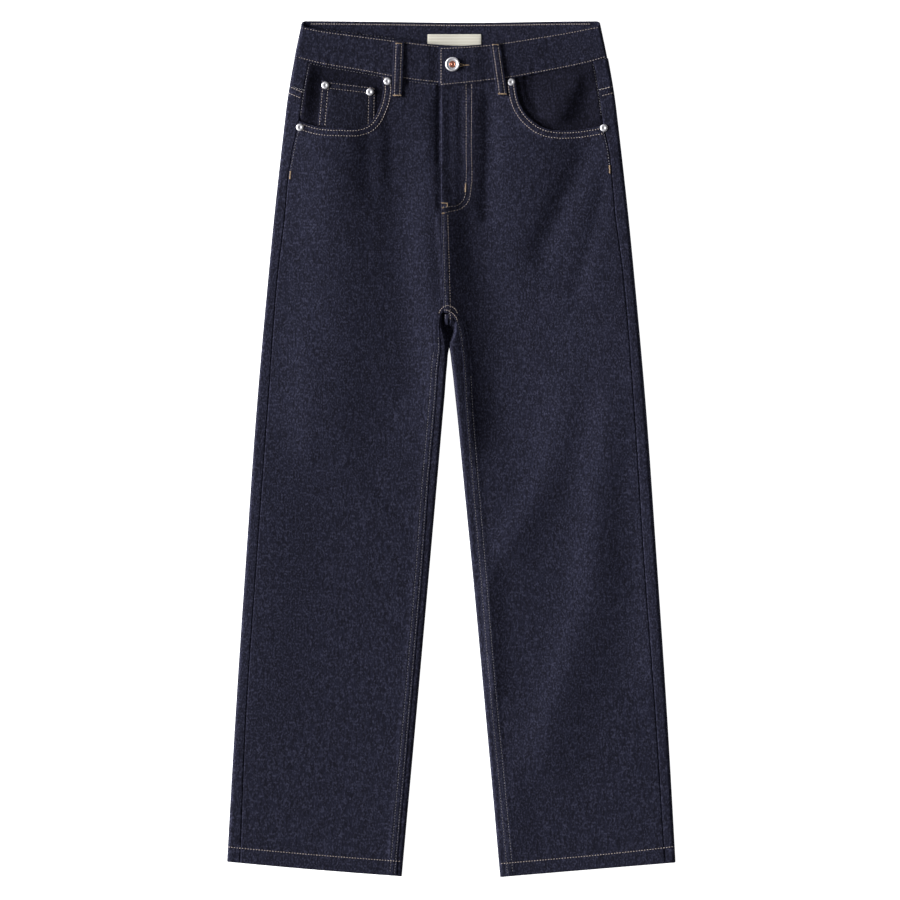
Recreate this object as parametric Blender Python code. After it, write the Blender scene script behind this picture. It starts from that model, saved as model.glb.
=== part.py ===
"""Straight leg jeans laid flat, front up, as a maker would cut and sew them.

Every size is in millimetres until a mesh is made. A point is given by x, which runs across the
garment to the wearer's left, by its drop, the distance down from the top of the waistband, and by
z, its height above the surface that the garment lies on. The wearer's left is side +1 and the
wearer's right is side -1. A distance called "across" is side * x, so it grows outwards on both.
"""

import math

import bmesh
import bpy
import numpy as np

MM = 0.001
LEFT, RIGHT = 1, -1
SIDE_NAME = {LEFT: "left", RIGHT: "right"}

# Overall length, and the walls. Pieces that meet at a seam stay one seam gap apart.
LENGTH = 1023.6
SEAM_GAP = 0.3
CLOTH = 1.4
BAND = 2.2
HEM_WALL = 1.8
COIN_WALL = 1.0
LABEL_WALL = 0.6
TRIM = 1.4

# Heights. Back pockets and belt loops carry the seat clear of the surface, and the legs lie on it.
# The cloth turns the silhouette on a radius, and a fold dies out in a share of its reaches.
SEAT_LIFT = TRIM + SEAM_GAP
SEAT_END, LEG_START = 285.0, 320.0
HIP_LOFT, LEG_LOFT, BAND_LOFT = 6.8, 6.4, 8.2
FOLD_ROUND = 4.0
FOLD_TAIL = 0.6

# Hem: its depth, and its drop at the silhouette. It slants down to the full length inside.
HEM_DEPTH = 18.0
HEM_OUTER = 1006.2

# Silhouette of both legs, and the strip of back panel between it and each side seam.
OUTLINE = np.array(
    [  # drop, half width, strip right, strip left
        (0, 179.0, 18.5, 18.0),
        (45, 188.3, 18.5, 18.0),
        (93, 196.4, 18.0, 17.4),
        (120, 199.7, 17.6, 17.2),
        (150, 203.2, 14.2, 14.0),
        (190, 207.7, 12.2, 13.8),
        (225, 211.5, 13.2, 14.6),
        (300, 218.9, 11.6, 12.3),
        (453, 232.6, 13.7, 13.2),
        (645, 246.3, 13.4, 14.4),
        (837, 259.1, 13.2, 13.0),
        (1003, 268.7, 16.0, 12.0),
    ],
    float,
)

# Gap between the legs: its middle and half its width. Above the fork the legs meet.
CROTCH_X = -1.9
FORK = np.array(
    [  # drop, middle, half gap
        (389, CROTCH_X, 0.0),
        (399, -2.0, 1.7),
        (453, -1.4, 7.3),
        (549, -0.9, 16.2),
        (645, -0.4, 25.2),
        (837, -0.1, 42.6),
        (1024, -0.2, 59.6),
    ],
    float,
)

# Strip of back panel between the inner silhouette and each inseam, from the crotch down. The
# panel turns the inner silhouette on a radius, and between crotch and fork it lies in a hollow.
CROTCH_DROP = 350.0
INNER_ROUND = 3.2
HOLLOW_HEIGHT, HOLLOW_ROUND = 3.6, 1.8
HOLLOW_START, HOLLOW_END = 372.0, 404.0
INSEAM = np.array(
    [  # drop, strip right, strip left
        (350, 9.4, 1.9),
        (356, 10.7, 6.4),
        (369, 11.1, 10.5),
        (393, 9.4, 11.5),
        (453, 8.5, 10.7),
        (549, 8.6, 9.0),
        (645, 7.0, 7.5),
        (791, 6.2, 6.0),
        (910, 5.8, 6.5),
        (1024, 5.4, 6.7),
    ],
    float,
)

# Centre front edge of each front panel. The left one laps over the right one along the fly: it
# is raised and the right one dips, each over a short slope, and both fade out below the fly.
# The layers folded inside the fly make it swell towards its edge.
FLY_EDGE = -11.8
FLY_END = 215.0
CENTRE_FRONT = np.array(
    [  # drop, right edge x, left edge x
        (73, 2.0, FLY_EDGE),
        (203, 2.0, FLY_EDGE),
        (FLY_END, FLY_EDGE - SEAM_GAP, FLY_EDGE),
        (240, -11.9, -11.6),
        (333, -9.1, -8.8),
        (344, -9.1, -8.8),
        (347.5, -9.5, -8.3),
        (350, -11.0, -3.6),
    ],
    float,
)
FLY_WIDTH = 36.0
FLY_RAISE, FLY_DIP = 0.9, 1.0
FLY_SWELL, FLY_SWELL_REACH = 1.5, 14.0
FLY_SLOPE = 12.0
FLY_FADE = 22.0

# Front waistband: its top and bottom edge on each half, from the side to the centre front. Its
# right end dips under the left one, which is raised as far as a slope between two places.
BAND_RIGHT = np.array(
    [  # x, top drop, bottom drop
        (-187, 3.0, 43.0),
        (-157, 7.8, 50.4),
        (-109, 15.4, 58.8),
        (-56, 22.2, 68.4),
        (-13, 27.0, 73.2),
        (26, 28.6, 72.4),
    ],
    float,
)
BAND_LEFT = np.array(
    [  # x, top drop, bottom drop
        (-14, 29.4, 76.9),
        (23, 27.0, 73.2),
        (49, 23.4, 70.0),
        (71, 19.8, 66.4),
        (107, 15.2, 60.6),
        (143, 11.2, 53.8),
        (167, 7.8, 48.5),
        (187, 3.0, 42.6),
    ],
    float,
)
BACK_BAND_SLOPE = 3.0 / 360.0
BACK_BAND_BOTTOM = 42.8
BAND_END_X = {RIGHT: 24.0, LEFT: -13.8}
BAND_DIP, BAND_RAISE = 1.2, 1.3
BAND_RAISE_X = (28.0, 44.0)
BAND_WAIST_DROP, BAND_FOOT_DROP = 20.0, 43.0

# Yoke: its seam with the back panel at the silhouette and at the centre back.
YOKE_OUTER, YOKE_CENTRE = 76.0, 128.0

# Front pocket openings, from the waistband to the side seam. The facing behind each is sunk under
# the front's face, but never below a floor over the back panel.
POCKET_RIGHT = np.array(
    [  # x, drop
        (-83.4, 63.8),
        (-81.4, 81.0),
        (-83.2, 93.0),
        (-87.4, 105.0),
        (-93.4, 116.5),
        (-99.8, 122.6),
        (-109.0, 126.0),
        (-133.0, 126.8),
        (-157.0, 125.4),
        (-181.6, 118.6),
    ],
    float,
)
POCKET_LEFT = np.array(
    [  # x, drop
        (77.4, 65.8),
        (80.6, 89.4),
        (84.2, 100.2),
        (90.2, 109.8),
        (98.6, 118.2),
        (107.0, 124.2),
        (116.6, 127.8),
        (131.0, 129.6),
        (149.0, 129.0),
        (182.2, 124.2),
    ],
    float,
)
POCKETS = {RIGHT: POCKET_RIGHT, LEFT: POCKET_LEFT}
FACING_BOTTOM = 141.0
FACING_INNER = {RIGHT: 68.0, LEFT: 64.0}
FACING_SINK = {RIGHT: 3.3, LEFT: 2.1}
FACING_FLOOR = 2 * CLOTH + SEAM_GAP

# Coin pocket: its four corners on the right facing.
COIN_TOP = ((-155.2, 69.0), (-89.8, 77.4))
COIN_BOTTOM = ((-161.0, 134.0), (-90.4, 136.0))

# Front belt loops: the middle of the top and bottom end of each, and the shares of the length
# where a loop's height is set. It clears the cloth beneath it and for a rest above that.
LOOP_WIDTH = 13.2
FRONT_LOOPS = {RIGHT: ((-62.2, 23.0), (-64.6, 90.0)), LEFT: ((53.0, 24.6), (62.0, 88.0))}
LOOP_BULGE = 0.9
LOOP_KNOTS = np.array([0, 0.06, 0.2, 0.4, 0.55, 0.66, 0.74, 0.82, 0.9, 1.0])
LOOP_REST = 6.0
BACK_LOOPS = {"right": -112.0, "centre": CROTCH_X, "left": 112.0}
BACK_LOOP_ENDS = (2.4, 54.0)

# Back pockets: half widths and drops of a plain five-sided patch.
BACK_POCKET_X = 102.0
BACK_POCKET = ((70.0, 126.0), (66.0, 250.0), (0.0, 275.0))

# Round trim.
BUTTON_AT = (2.0, 50.4)
BUTTON_RADIUS, BUTTON_HEIGHT = 8.6, 3.0
BUTTON_CENTRE_RADIUS = 3.9
RIVET_RADIUS, RIVET_HEIGHT = 4.5, 1.3
RIVETS = {
    "rivet_pocket_right_inner": (-76.0, 70.6),
    "rivet_pocket_right_outer": (-181.0, 126.0),
    "rivet_coin_outer": (-150.6, 75.4),
    "rivet_coin_inner": (-97.0, 83.4),
    "rivet_pocket_left_inner": (72.6, 71.6),
    "rivet_pocket_left_outer": (183.6, 126.6),
}

# Bare woven label inside the back of the waistband.
LABEL_X, LABEL_DROP = (-28.0, 36.2), (14.0, 39.0)

# Folds of the front: a soft ridge (+) or trough (-) along a line through three points. Each
# reaches its own distance to the wearer's right and left of its line.
FOLDS = (
    # x, drop       x, drop       x, drop       reach right and left, height
    ((-139, 150), (-136, 333), (-142, 470), 50, 50, 4.2),
    ((-146, 130), (-146, 165), (-144, 215), 40, 40, 1.6),
    ((-206, 130), (-220, 300), (-230, 440), 40, 44, -1.7),
    ((-100, 138), (-100, 160), (-98, 195), 12, 10, -1.5),
    ((-74, 125), (-73, 150), (-72, 190), 8, 8, -1.0),
    ((-60, 150), (-59, 270), (-44, 429), 26, 22, -2.3),
    ((-174, 380), (-174, 443), (-172, 510), 14, 14, 0.8),
    ((-95, 549), (-73, 578), (-51, 607), 9, 9, -0.6),
    ((-218, 600), (-224, 700), (-232, 800), 30, 50, 1.4),
    ((-14, 84), (-14, 130), (-14, 165), 9, 2, -1.7),
    ((44, 84), (44, 160), (42, 232), 7, 14, -2.3),
    ((-20, 240), (-15, 290), (-13, 335), 8, 2.5, -1.2),
    ((-8, 240), (-6, 335), (12, 475), 66, 22, 5.2),
    ((28, 256), (46, 340), (58, 480), 22, 34, -2.2),
    ((62, 325), (72, 380), (74, 450), 40, 90, -1.4),
    ((104, 130), (98, 205), (80, 270), 45, 30, 1.6),
    ((161, 157), (140, 205), (110, 270), 17, 16, -2.6),
    ((182, 200), (168, 261), (150, 320), 10, 10, -1.0),
    ((214, 310), (214, 400), (222, 500), 84, 40, 4.8),
    ((138, 455), (114, 549), (72, 625), 23, 26, 2.4),
    ((190, 470), (180, 549), (174, 640), 24, 29, 3.3),
    ((170, 685), (150, 750), (112, 870), 26, 40, 3.2),
    ((238, 440), (246, 600), (250, 760), 26, 40, 3.0),
    ((46, 660), (48, 720), (52, 800), 8, 14, 2.2),
    ((72, 900), (74, 950), (76, 985), 10, 22, 1.3),
)

# Rows of the cloth: the drop at the outer and the inner edge of each row of points. The last
# row above the front's own lies a little higher at the centre front.
ROW_APART = 12
SEAT_ROWS = (
    (YOKE_OUTER + SEAM_GAP, YOKE_CENTRE + SEAM_GAP),
    (118, 150),
    (150, 178),
    (168, 192),
    (190, 208),
    (225, 236),
    (262, 268),
    (285, 288),
    (300, 302),
    (320, 322),
    (336, 337),
)
FRONT_ROWS = (
    (150, 215),
    (168, 228),
    (190, 240),
    (225, 264),
    (262, 288),
    (300, 314),
    (330, 333),
    (343, 344),
)
LEG_DROPS = (350, 356, 369, 381, 393, 408, 430, 460, 495) + tuple(range(540, 900, 45))
LEG_ROWS = tuple((d, d) for d in LEG_DROPS)
HEM_ROWS = (
    (920, 924),
    (955, 965),
    (HEM_OUTER - HEM_DEPTH, LENGTH - HEM_DEPTH),
    (HEM_OUTER - HEM_DEPTH + 2, LENGTH - HEM_DEPTH + 2),
    (HEM_OUTER, LENGTH),
)


# ---------------------------------------------------------------- curves


def ramp(start, end, at):
    """A smooth step: 0 before start, 1 after end, with level ends."""
    t = np.clip((at - start) / (end - start), 0.0, 1.0)
    return t * t * (3.0 - 2.0 * t)


def eased(knots, values, at):
    """A smooth curve through the knots: cubic pieces that share their slope at each knot."""
    slopes = np.gradient(values, knots)
    i = np.clip(np.searchsorted(knots, at) - 1, 0, len(knots) - 2)
    span = knots[i + 1] - knots[i]
    t = np.clip((at - knots[i]) / span, 0.0, 1.0)
    rise = values[i] * (1 + 2 * t) * (1 - t) ** 2 + values[i + 1] * t * t * (3 - 2 * t)
    return rise + span * (slopes[i] * t * (1 - t) ** 2 - slopes[i + 1] * t * t * (1 - t))


def along(points, count):
    """Evenly spaced points on the smooth curve through the given points."""
    length = np.concatenate([[0], np.cumsum(np.hypot(*np.diff(points, axis=0).T))])
    at = np.linspace(0, length[-1], count)
    return np.stack([eased(length, points[:, k], at) for k in (0, 1)], axis=-1)


def column(side):
    """The column of a table that belongs to a side, where right comes before left."""
    return -2 if side == RIGHT else -1


def half_width(drop):
    return eased(OUTLINE[:, 0], OUTLINE[:, 1], drop)


def side_seam(side, drop):
    """How far across the side seam lies."""
    return half_width(drop) - eased(OUTLINE[:, 0], OUTLINE[:, column(side)], drop)


def inner_edge(side, drop):
    """How far across the inner silhouette lies. Above the fork it is the centre line."""
    middle = eased(FORK[:, 0], FORK[:, 1], drop)
    return side * middle + eased(FORK[:, 0], FORK[:, 2], drop)


def inseam(side, drop):
    """How far across the inseam lies, below the crotch."""
    return inner_edge(side, drop) + eased(INSEAM[:, 0], INSEAM[:, column(side)], drop)


def front_inner(side, drop):
    """How far across the front panel's inner edge lies: centre front, then inseam."""
    centre = side * np.interp(drop, CENTRE_FRONT[:, 0], CENTRE_FRONT[:, column(side)])
    return np.where(drop < CROTCH_DROP, centre, inseam(side, drop) + SEAM_GAP / 2)


def band_edge(half, x, which):
    """The drop of the front waistband's top (which=1) or bottom (which=2) edge."""
    table = BAND_RIGHT if half == RIGHT else BAND_LEFT
    return eased(table[:, 0], table[:, which], x)


# ---------------------------------------------------------------- heights


def under(drop):
    """The height of the cloth's underside."""
    return SEAT_LIFT * (1 - ramp(SEAT_END, LEG_START, drop))


def crest(drop):
    """The height of the front's face where no fold passes."""
    return under(drop) + HIP_LOFT + (LEG_LOFT - HIP_LOFT) * ramp(SEAT_END, LEG_START, drop)


def folds(x, drop):
    """The folds' height: along each, a bell across its line that fades past its two ends."""
    total = np.zeros(np.broadcast(x, drop).shape)
    for first, middle, last, right, left, height in FOLDS:
        knots = np.array([first[1], middle[1], last[1]], float)
        line = eased(knots, np.array([first[0], middle[0], last[0]], float), drop)
        reach = np.where(x < line, right, left)
        past = np.maximum(knots[0] - drop, drop - knots[2]).clip(0) / (FOLD_TAIL * (right + left))
        total += height * np.exp(-(((x - line) / reach) ** 2) - past**2)
    return total


def face(x, drop):
    """The height of the front's face. Folds fade towards the waistband and the hem."""
    band = drop - np.where(x < 0, band_edge(RIGHT, x, 2), band_edge(LEFT, x, 2))
    fade = ramp(2, 26, band) * ramp(4, 40, LENGTH - drop)
    return crest(drop) + folds(x, drop) * fade


def fly_step(side, x, drop):
    """The left front's rise over the fly, and the right front's dip beneath it."""
    ends = 1 - ramp(FLY_END, FLY_END + FLY_FADE, drop)
    if side == LEFT:
        swell = FLY_SWELL * np.exp(-(((x - FLY_EDGE) / FLY_SWELL_REACH) ** 2))
        return ends * (FLY_RAISE * (1 - ramp(FLY_WIDTH - FLY_SLOPE, FLY_WIDTH, x)) + swell)
    return -FLY_DIP * ends * ramp(FLY_EDGE - FLY_SLOPE - 2, FLY_EDGE - 2, x)


# ---------------------------------------------------------------- meshes


def linear(hex_colour):
    """An sRGB hex colour as linear red, green, blue and alpha."""
    parts = [int(hex_colour[i : i + 2], 16) / 255 for i in (0, 2, 4)]
    return [p / 12.92 if p <= 0.04045 else ((p + 0.055) / 1.055) ** 2.4 for p in parts] + [1.0]


def finish(name, hex_colour, roughness, metallic=0.0):
    material = bpy.data.materials.new(name)
    material.use_nodes = True
    shader = material.node_tree.nodes["Principled BSDF"]
    shader.inputs["Base Color"].default_value = linear(hex_colour)
    shader.inputs["Roughness"].default_value = roughness
    shader.inputs["Metallic"].default_value = metallic
    return material


def add_piece(name, points, faces, material):
    """Make an object from points of x, drop and z in millimetres."""
    points = np.asarray(points, float).reshape(-1, 3)
    placed = np.stack([points[:, 0], LENGTH / 2 - points[:, 1], points[:, 2]], axis=1) * MM
    mesh = bpy.data.meshes.new(name)
    mesh.from_pydata(placed.tolist(), [], faces)
    shape = bmesh.new()
    shape.from_mesh(mesh)
    bmesh.ops.delete(shape, geom=[v for v in shape.verts if not v.link_faces], context="VERTS")
    bmesh.ops.recalc_face_normals(shape, faces=shape.faces)
    shape.to_mesh(mesh)
    shape.free()
    mesh.materials.append(material)
    mesh.shade_smooth()
    mesh.set_sharp_from_angle(angle=math.radians(40))
    piece = bpy.data.objects.new(name, mesh)
    bpy.context.scene.collection.objects.link(piece)
    return piece


def wall(name, outer, inner, material, keep=None):
    """A closed wall between two grids of points. keep says which cells of the grid are cloth."""
    rows, cols = outer.shape[:2]
    keep = np.ones((rows - 1, cols - 1), bool) if keep is None else keep
    count = rows * cols
    faces, edges = [], set()
    for i, j in np.argwhere(keep).tolist():
        a = i * cols + j
        ring = (a, a + 1, a + cols + 1, a + cols)
        faces.append(ring)
        faces.append(tuple(v + count for v in reversed(ring)))
        edges.update(zip(ring, ring[1:] + ring[:1]))
    for a, b in sorted(edges):
        if (b, a) not in edges:
            faces.append((b, a, a + count, b + count))
    points = np.concatenate([outer.reshape(-1, 3), inner.reshape(-1, 3)])
    return add_piece(name, points, faces, material)


def sheet(name, x, drop, z, thickness, material):
    """A wall that hangs below a grid of surface points."""
    outer = np.stack([x, drop, z], axis=-1)
    inner = np.stack([x, drop, z - thickness], axis=-1)
    return wall(name, outer, inner, material)


def plate(name, outline, low, high, material):
    """A flat plate: an outline of x and drop between two heights."""
    count = len(outline)
    points = [(x, d, z) for z in (low, high) for x, d in outline]
    sides = [(i, (i + 1) % count, (i + 1) % count + count, i + count) for i in range(count)]
    caps = [tuple(range(count)), tuple(range(count, 2 * count))]
    return add_piece(name, points, caps + sides, material)


def turned(name, at, base, profile, material, steps=16):
    """A round piece: a profile of radius and height turned about the vertical."""
    angles = np.linspace(0, 2 * np.pi, steps, endpoint=False)
    points = [(at[0], at[1], base + profile[0][1])]
    for radius, height in profile[1:-1]:
        points += [
            (at[0] + radius * math.cos(a), at[1] + radius * math.sin(a), base + height)
            for a in angles
        ]
    points.append((at[0], at[1], base + profile[-1][1]))
    rings = len(profile) - 2
    faces = []
    for k in range(steps):
        n = (k + 1) % steps
        faces.append((0, 1 + k, 1 + n))
        faces.append((len(points) - 1, 1 + (rings - 1) * steps + n, 1 + (rings - 1) * steps + k))
        for r in range(rings - 1):
            low = 1 + r * steps
            faces.append((low + k, low + n, low + steps + n, low + steps + k))
    return add_piece(name, points, faces, material)


# ---------------------------------------------------------------- wrapped cloth


def inwards(x, z, thickness, turn):
    """Points one wall inside a path of x and z, square to the path. turn is the path's sense."""
    run, rise = np.gradient(x, axis=1), np.gradient(z, axis=1)
    length = np.hypot(run, rise)
    return x + turn * thickness * rise / length, z - turn * thickness * run / length


def row_drop(side, outer_drop, inner_drop, across):
    """The drop on a row that runs straight from the silhouette to the inner edge."""
    outer, inner = half_width(outer_drop), inner_edge(side, inner_drop)
    return outer_drop + (inner_drop - outer_drop) * (outer - across) / (outer - inner)


STRIP = np.linspace(0, 1, 3)
ROUND = np.linspace(0, 1, 7)[1:]
FLAT = np.linspace(0, 1, 6)[1:]
ZONES = (len(STRIP), len(ROUND), len(FLAT), len(ROUND), len(STRIP) - 1)


def hollow(side, across, drop):
    """The height of the inner leg's turn: low in the hollow at the crotch, and level below it."""
    closed = ramp(HOLLOW_START, HOLLOW_END, drop)
    return HOLLOW_HEIGHT + (face(side * across, drop) - HOLLOW_HEIGHT) * closed


def wrap_path(side, drop, below_crotch):
    """The outer path of a back piece on each row, as distances across and heights.

    It starts at the side seam on top, rolls round the silhouette, and runs back underneath to
    the centre. Below the crotch it rolls up round the inner leg as well, to the inseam.
    """
    strip, roll, flat, inner_roll, inner_strip = np.split(drop, np.cumsum(ZONES)[:-1], axis=1)
    start = side_seam(side, strip) + SEAM_GAP / 2
    across = [start + (half_width(strip) - FOLD_ROUND - start) * STRIP]
    heights = [face(side * across[0], strip)]

    angle = np.pi * (0.5 - ROUND)
    across.append(half_width(roll) - FOLD_ROUND * (1 - np.cos(angle)))
    low, high = under(roll), face(side * (half_width(roll) - FOLD_ROUND), roll)
    heights.append(low + (high - low) / 2 * (1 + np.sin(angle)))

    tight = HOLLOW_ROUND + (INNER_ROUND - HOLLOW_ROUND) * ramp(HOLLOW_START, HOLLOW_END, inner_roll[:, :1])
    flat_end = inner_edge(side, flat) + SEAM_GAP / 2 + (tight if below_crotch else 0)
    flat_start = half_width(flat) - FOLD_ROUND
    across.append(flat_start + (flat_end - flat_start) * FLAT)
    heights.append(under(flat))
    if not below_crotch:
        return np.concatenate(across, axis=1), np.concatenate(heights, axis=1)

    base = inner_edge(side, inner_roll) + SEAM_GAP / 2
    across.append(base + tight * (1 - np.cos(angle)))
    heights.append(hollow(side, base + tight, inner_roll) / 2 * (1 - np.sin(angle)))
    start = inner_edge(side, inner_strip) + SEAM_GAP / 2 + tight
    end = inseam(side, inner_strip) - SEAM_GAP / 2
    across.append(start + (end - start) * STRIP[1:])
    low = hollow(side, start, inner_strip)
    heights.append(low + (face(side * across[4], inner_strip) - low) * STRIP[1:])
    return np.concatenate(across, axis=1), np.concatenate(heights, axis=1)


def wrapped(side, rows, below_crotch):
    """Outer and inner points of a back piece whose rows have the given drops."""
    rows = np.array(rows, float)
    cols = sum(ZONES)
    outer_drop, inner_drop = (np.repeat(rows[:, k : k + 1], cols, axis=1) for k in (0, 1))
    across, _ = wrap_path(side, outer_drop, below_crotch)
    used = across.shape[1]
    drop = row_drop(side, outer_drop[:, :used], inner_drop[:, :used], across)
    if not below_crotch:
        drop = np.pad(drop, ((0, 0), (0, cols - used)), mode="edge")
    across, height = wrap_path(side, drop, below_crotch)
    drop = drop[:, :used]
    in_hem = rows[:, :1] > HEM_OUTER - HEM_DEPTH
    thickness = np.where(in_hem, HEM_WALL, CLOTH)
    inner_across, inner_height = inwards(across, height, thickness, 1)
    if below_crotch:
        inner_across = np.minimum(inner_across, np.maximum(across[:, -1:], across))
    outer = np.stack([side * across, drop, height], axis=-1)
    inner = np.stack([side * inner_across, drop, inner_height], axis=-1)
    return outer, inner


def back_panel(side, denim):
    """The back of one leg, wrapped round both edges of the leg to the side seam and inseam."""
    upper = wrapped(side, SEAT_ROWS, False)
    lower = wrapped(side, LEG_ROWS + HEM_ROWS, True)
    spare = lower[0].shape[1] - upper[0].shape[1]
    outer, inner = (
        np.concatenate([np.pad(top, ((0, 0), (0, spare), (0, 0)), mode="edge"), legs])
        for top, legs in zip(upper, lower)
    )
    keep = np.ones((len(outer) - 1, outer.shape[1] - 1), bool)
    keep[: len(SEAT_ROWS), upper[0].shape[1] - 1 :] = False
    return wall(f"back_{SIDE_NAME[side]}", outer, inner, denim, keep)


def yoke(side, denim):
    """The yoke between the waistband and the back panel, wrapped round to the side seam."""
    top = BACK_BAND_BOTTOM + 2 * SEAM_GAP
    steps = np.linspace(0, 1, 4)[:, None]
    rows = np.array([(top, top)]) * (1 - steps) + np.array([(YOKE_OUTER, YOKE_CENTRE)]) * steps
    outer, inner = wrapped(side, rows, False)
    on_top = (outer[..., 2] - SEAT_LIFT) / HIP_LOFT
    lower = band_edge(side, outer[0, :, 0], 2) + SEAM_GAP - outer[0, :, 1]
    for points in (outer, inner):
        points[..., 1] += np.maximum(lower, 0) * on_top * (1 - steps)
    return wall(f"yoke_{SIDE_NAME[side]}", outer, inner, denim)


# ---------------------------------------------------------------- front pieces

FRONT_COLS = 21
POCKET_ROWS = 11
BOWED_ROWS = 6


def front_panel(side, denim):
    """One front, from the waistband and pocket opening to the hem."""
    opening = along(POCKETS[side], POCKET_ROWS)
    top = band_edge(side, side * front_inner(side, 74.0), 2) + SEAM_GAP
    opening[0, 1] = band_edge(side, opening[0, 0], 2) + SEAM_GAP
    inner_drops = np.linspace(top, FRONT_ROWS[0][1] - ROW_APART, POCKET_ROWS)
    rows = np.array(FRONT_ROWS + LEG_ROWS + HEM_ROWS, float)
    seam = side_seam(side, rows[:, 0]) - SEAM_GAP / 2
    seam_drop = row_drop(side, rows[:, 0], rows[:, 1], seam)
    seam_drop = np.where(rows[:, 0] < CROTCH_DROP, rows[:, 0], seam_drop)
    outer_x = np.concatenate([opening[:, 0], side * (side_seam(side, seam_drop) - SEAM_GAP / 2)])
    outer_drop = np.concatenate([opening[:, 1], seam_drop])
    inner = front_inner(side, rows[:, 1])
    inner_drop = row_drop(side, rows[:, 0], rows[:, 1], inner)
    inner_drop = np.where(rows[:, 1] < CROTCH_DROP, rows[:, 1], inner_drop)
    inner_drop = np.concatenate([inner_drops, inner_drop])
    inner_x = side * front_inner(side, inner_drop)

    u = np.linspace(0, 1, FRONT_COLS)
    x = outer_x[:, None] * (1 - u) + inner_x[:, None] * u
    drop = outer_drop[:, None] * (1 - u) + inner_drop[:, None] * u
    bow = band_edge(side, x[0], 2) + SEAM_GAP - drop[0]
    drop += bow * (1 - ramp(0, BOWED_ROWS, np.arange(len(drop), dtype=float)))[:, None]
    z = face(x, drop) + fly_step(side, x, drop)
    in_hem = np.concatenate([np.zeros(POCKET_ROWS, bool), rows[:, 0] > HEM_OUTER - HEM_DEPTH])
    thickness = np.where(in_hem, HEM_WALL, CLOTH)[:, None]
    return sheet(f"front_{SIDE_NAME[side]}", x, drop, z, thickness, denim)


def facing_height(side, x, drop):
    """The facing's face, sunk under the front's far enough for what lies between them, but never
    into the back panel beneath it."""
    return np.maximum(face(x, drop) - FACING_SINK[side], under(drop) + FACING_FLOOR)


def pocket_facing(side, denim):
    """The denim behind a front pocket opening, from the side seam to under the front."""
    u = np.linspace(0, 1, 12)[None, :]
    v = np.linspace(0, 1, 9)[:, None]
    inner = FACING_INNER[side]
    across = side_seam(side, 60.0) * (1 - u) + inner * u + 0 * v
    for _ in range(2):
        top = band_edge(side, side * across, 2) + SEAM_GAP
        drop = top + (FACING_BOTTOM - top) * v
        across = (side_seam(side, drop) - SEAM_GAP / 2) * (1 - u) + inner * u
    x = side * across
    z = facing_height(side, x, drop)
    return sheet(f"pocket_facing_{SIDE_NAME[side]}", x, drop, z, CLOTH, denim)


def coin_grid():
    """Points of x and drop over the coin pocket."""
    u = np.linspace(0, 1, 8)[None, :]
    v = np.linspace(0, 1, 8)[:, None]
    top = [COIN_TOP[0][k] * (1 - u) + COIN_TOP[1][k] * u for k in (0, 1)]
    bottom = [COIN_BOTTOM[0][k] * (1 - u) + COIN_BOTTOM[1][k] * u for k in (0, 1)]
    return [t * (1 - v) + b * v for t, b in zip(top, bottom)]


def coin_height(x, drop):
    return facing_height(RIGHT, x, drop) + SEAM_GAP + COIN_WALL


def coin_pocket(denim):
    """The small pocket on the right facing, whose foot runs under the front."""
    x, drop = coin_grid()
    return sheet("coin_pocket", x, drop, coin_height(x, drop), COIN_WALL, denim)


# ---------------------------------------------------------------- waistband

BAND_ROWS = 4
BAND_FRONT = 16
BAND_BACK = 15


def band_height(half, x):
    """The face of the front waistband: one end dips where the other lies over it."""
    level = SEAT_LIFT + BAND_LOFT
    if half == RIGHT:
        return level - BAND_DIP * ramp(FLY_EDGE - 18, FLY_EDGE - 4, x)
    return level + BAND_RAISE * (1 - ramp(*BAND_RAISE_X, x))


def back_band_top(x):
    return BACK_BAND_SLOPE * (x + half_width(0.0))


def waistband(denim):
    """One strip from the under end, round the right side, along the back and over the front."""
    nominal = half_width(BAND_WAIST_DROP) - FOLD_ROUND
    v = np.linspace(0, 1, BAND_ROWS)[:, None]
    angle = np.pi * (0.5 - ROUND[None, :-1])
    parts = []

    def stretch(start, end, count, edges, height):
        share = np.linspace(start / nominal, end / nominal, count)[None, :]
        x = share * nominal + 0 * v
        for _ in range(2):
            top, bottom = edges(x)
            drop = top + (bottom - top) * v
            x = share * (half_width(drop) - FOLD_ROUND)
        parts.append((x, drop, height(x)))

    def roll(side, turn_angle):
        share = (1 + np.sin(turn_angle)) / 2
        edge = side * nominal
        top = back_band_top(edge) * (1 - share) + band_edge(side, edge, 1) * share
        front_bottom = band_edge(side, side * half_width(BAND_FOOT_DROP), 2)
        bottom = BACK_BAND_BOTTOM * (1 - share) + front_bottom * share
        drop = top + (bottom - top) * v
        x = side * (half_width(drop) - FOLD_ROUND * (1 - np.cos(turn_angle)))
        parts.append((x, drop, SEAT_LIFT + BAND_LOFT * share + 0 * drop))

    def front_edges(half):
        return lambda x: (band_edge(half, x, 1), band_edge(half, x, 2))

    def back_edges(x):
        return back_band_top(x), BACK_BAND_BOTTOM

    def front_face(half):
        return lambda x: band_height(half, x)

    stretch(BAND_END_X[RIGHT], -nominal, BAND_FRONT, front_edges(RIGHT), front_face(RIGHT))
    roll(RIGHT, angle)
    stretch(-nominal, nominal, BAND_BACK, back_edges, lambda x: SEAT_LIFT + 0 * x)
    roll(LEFT, -angle)
    stretch(nominal, BAND_END_X[LEFT], BAND_FRONT, front_edges(LEFT), front_face(LEFT))

    x, drop, z = (np.concatenate([part[k] for part in parts], axis=1) for k in range(3))
    inner_x, inner_z = inwards(x, z, BAND, -1)
    outer = np.stack([x, drop, z], axis=-1)
    inner = np.stack([inner_x, drop, inner_z], axis=-1)
    return wall("waistband", outer, inner, denim)


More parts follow.
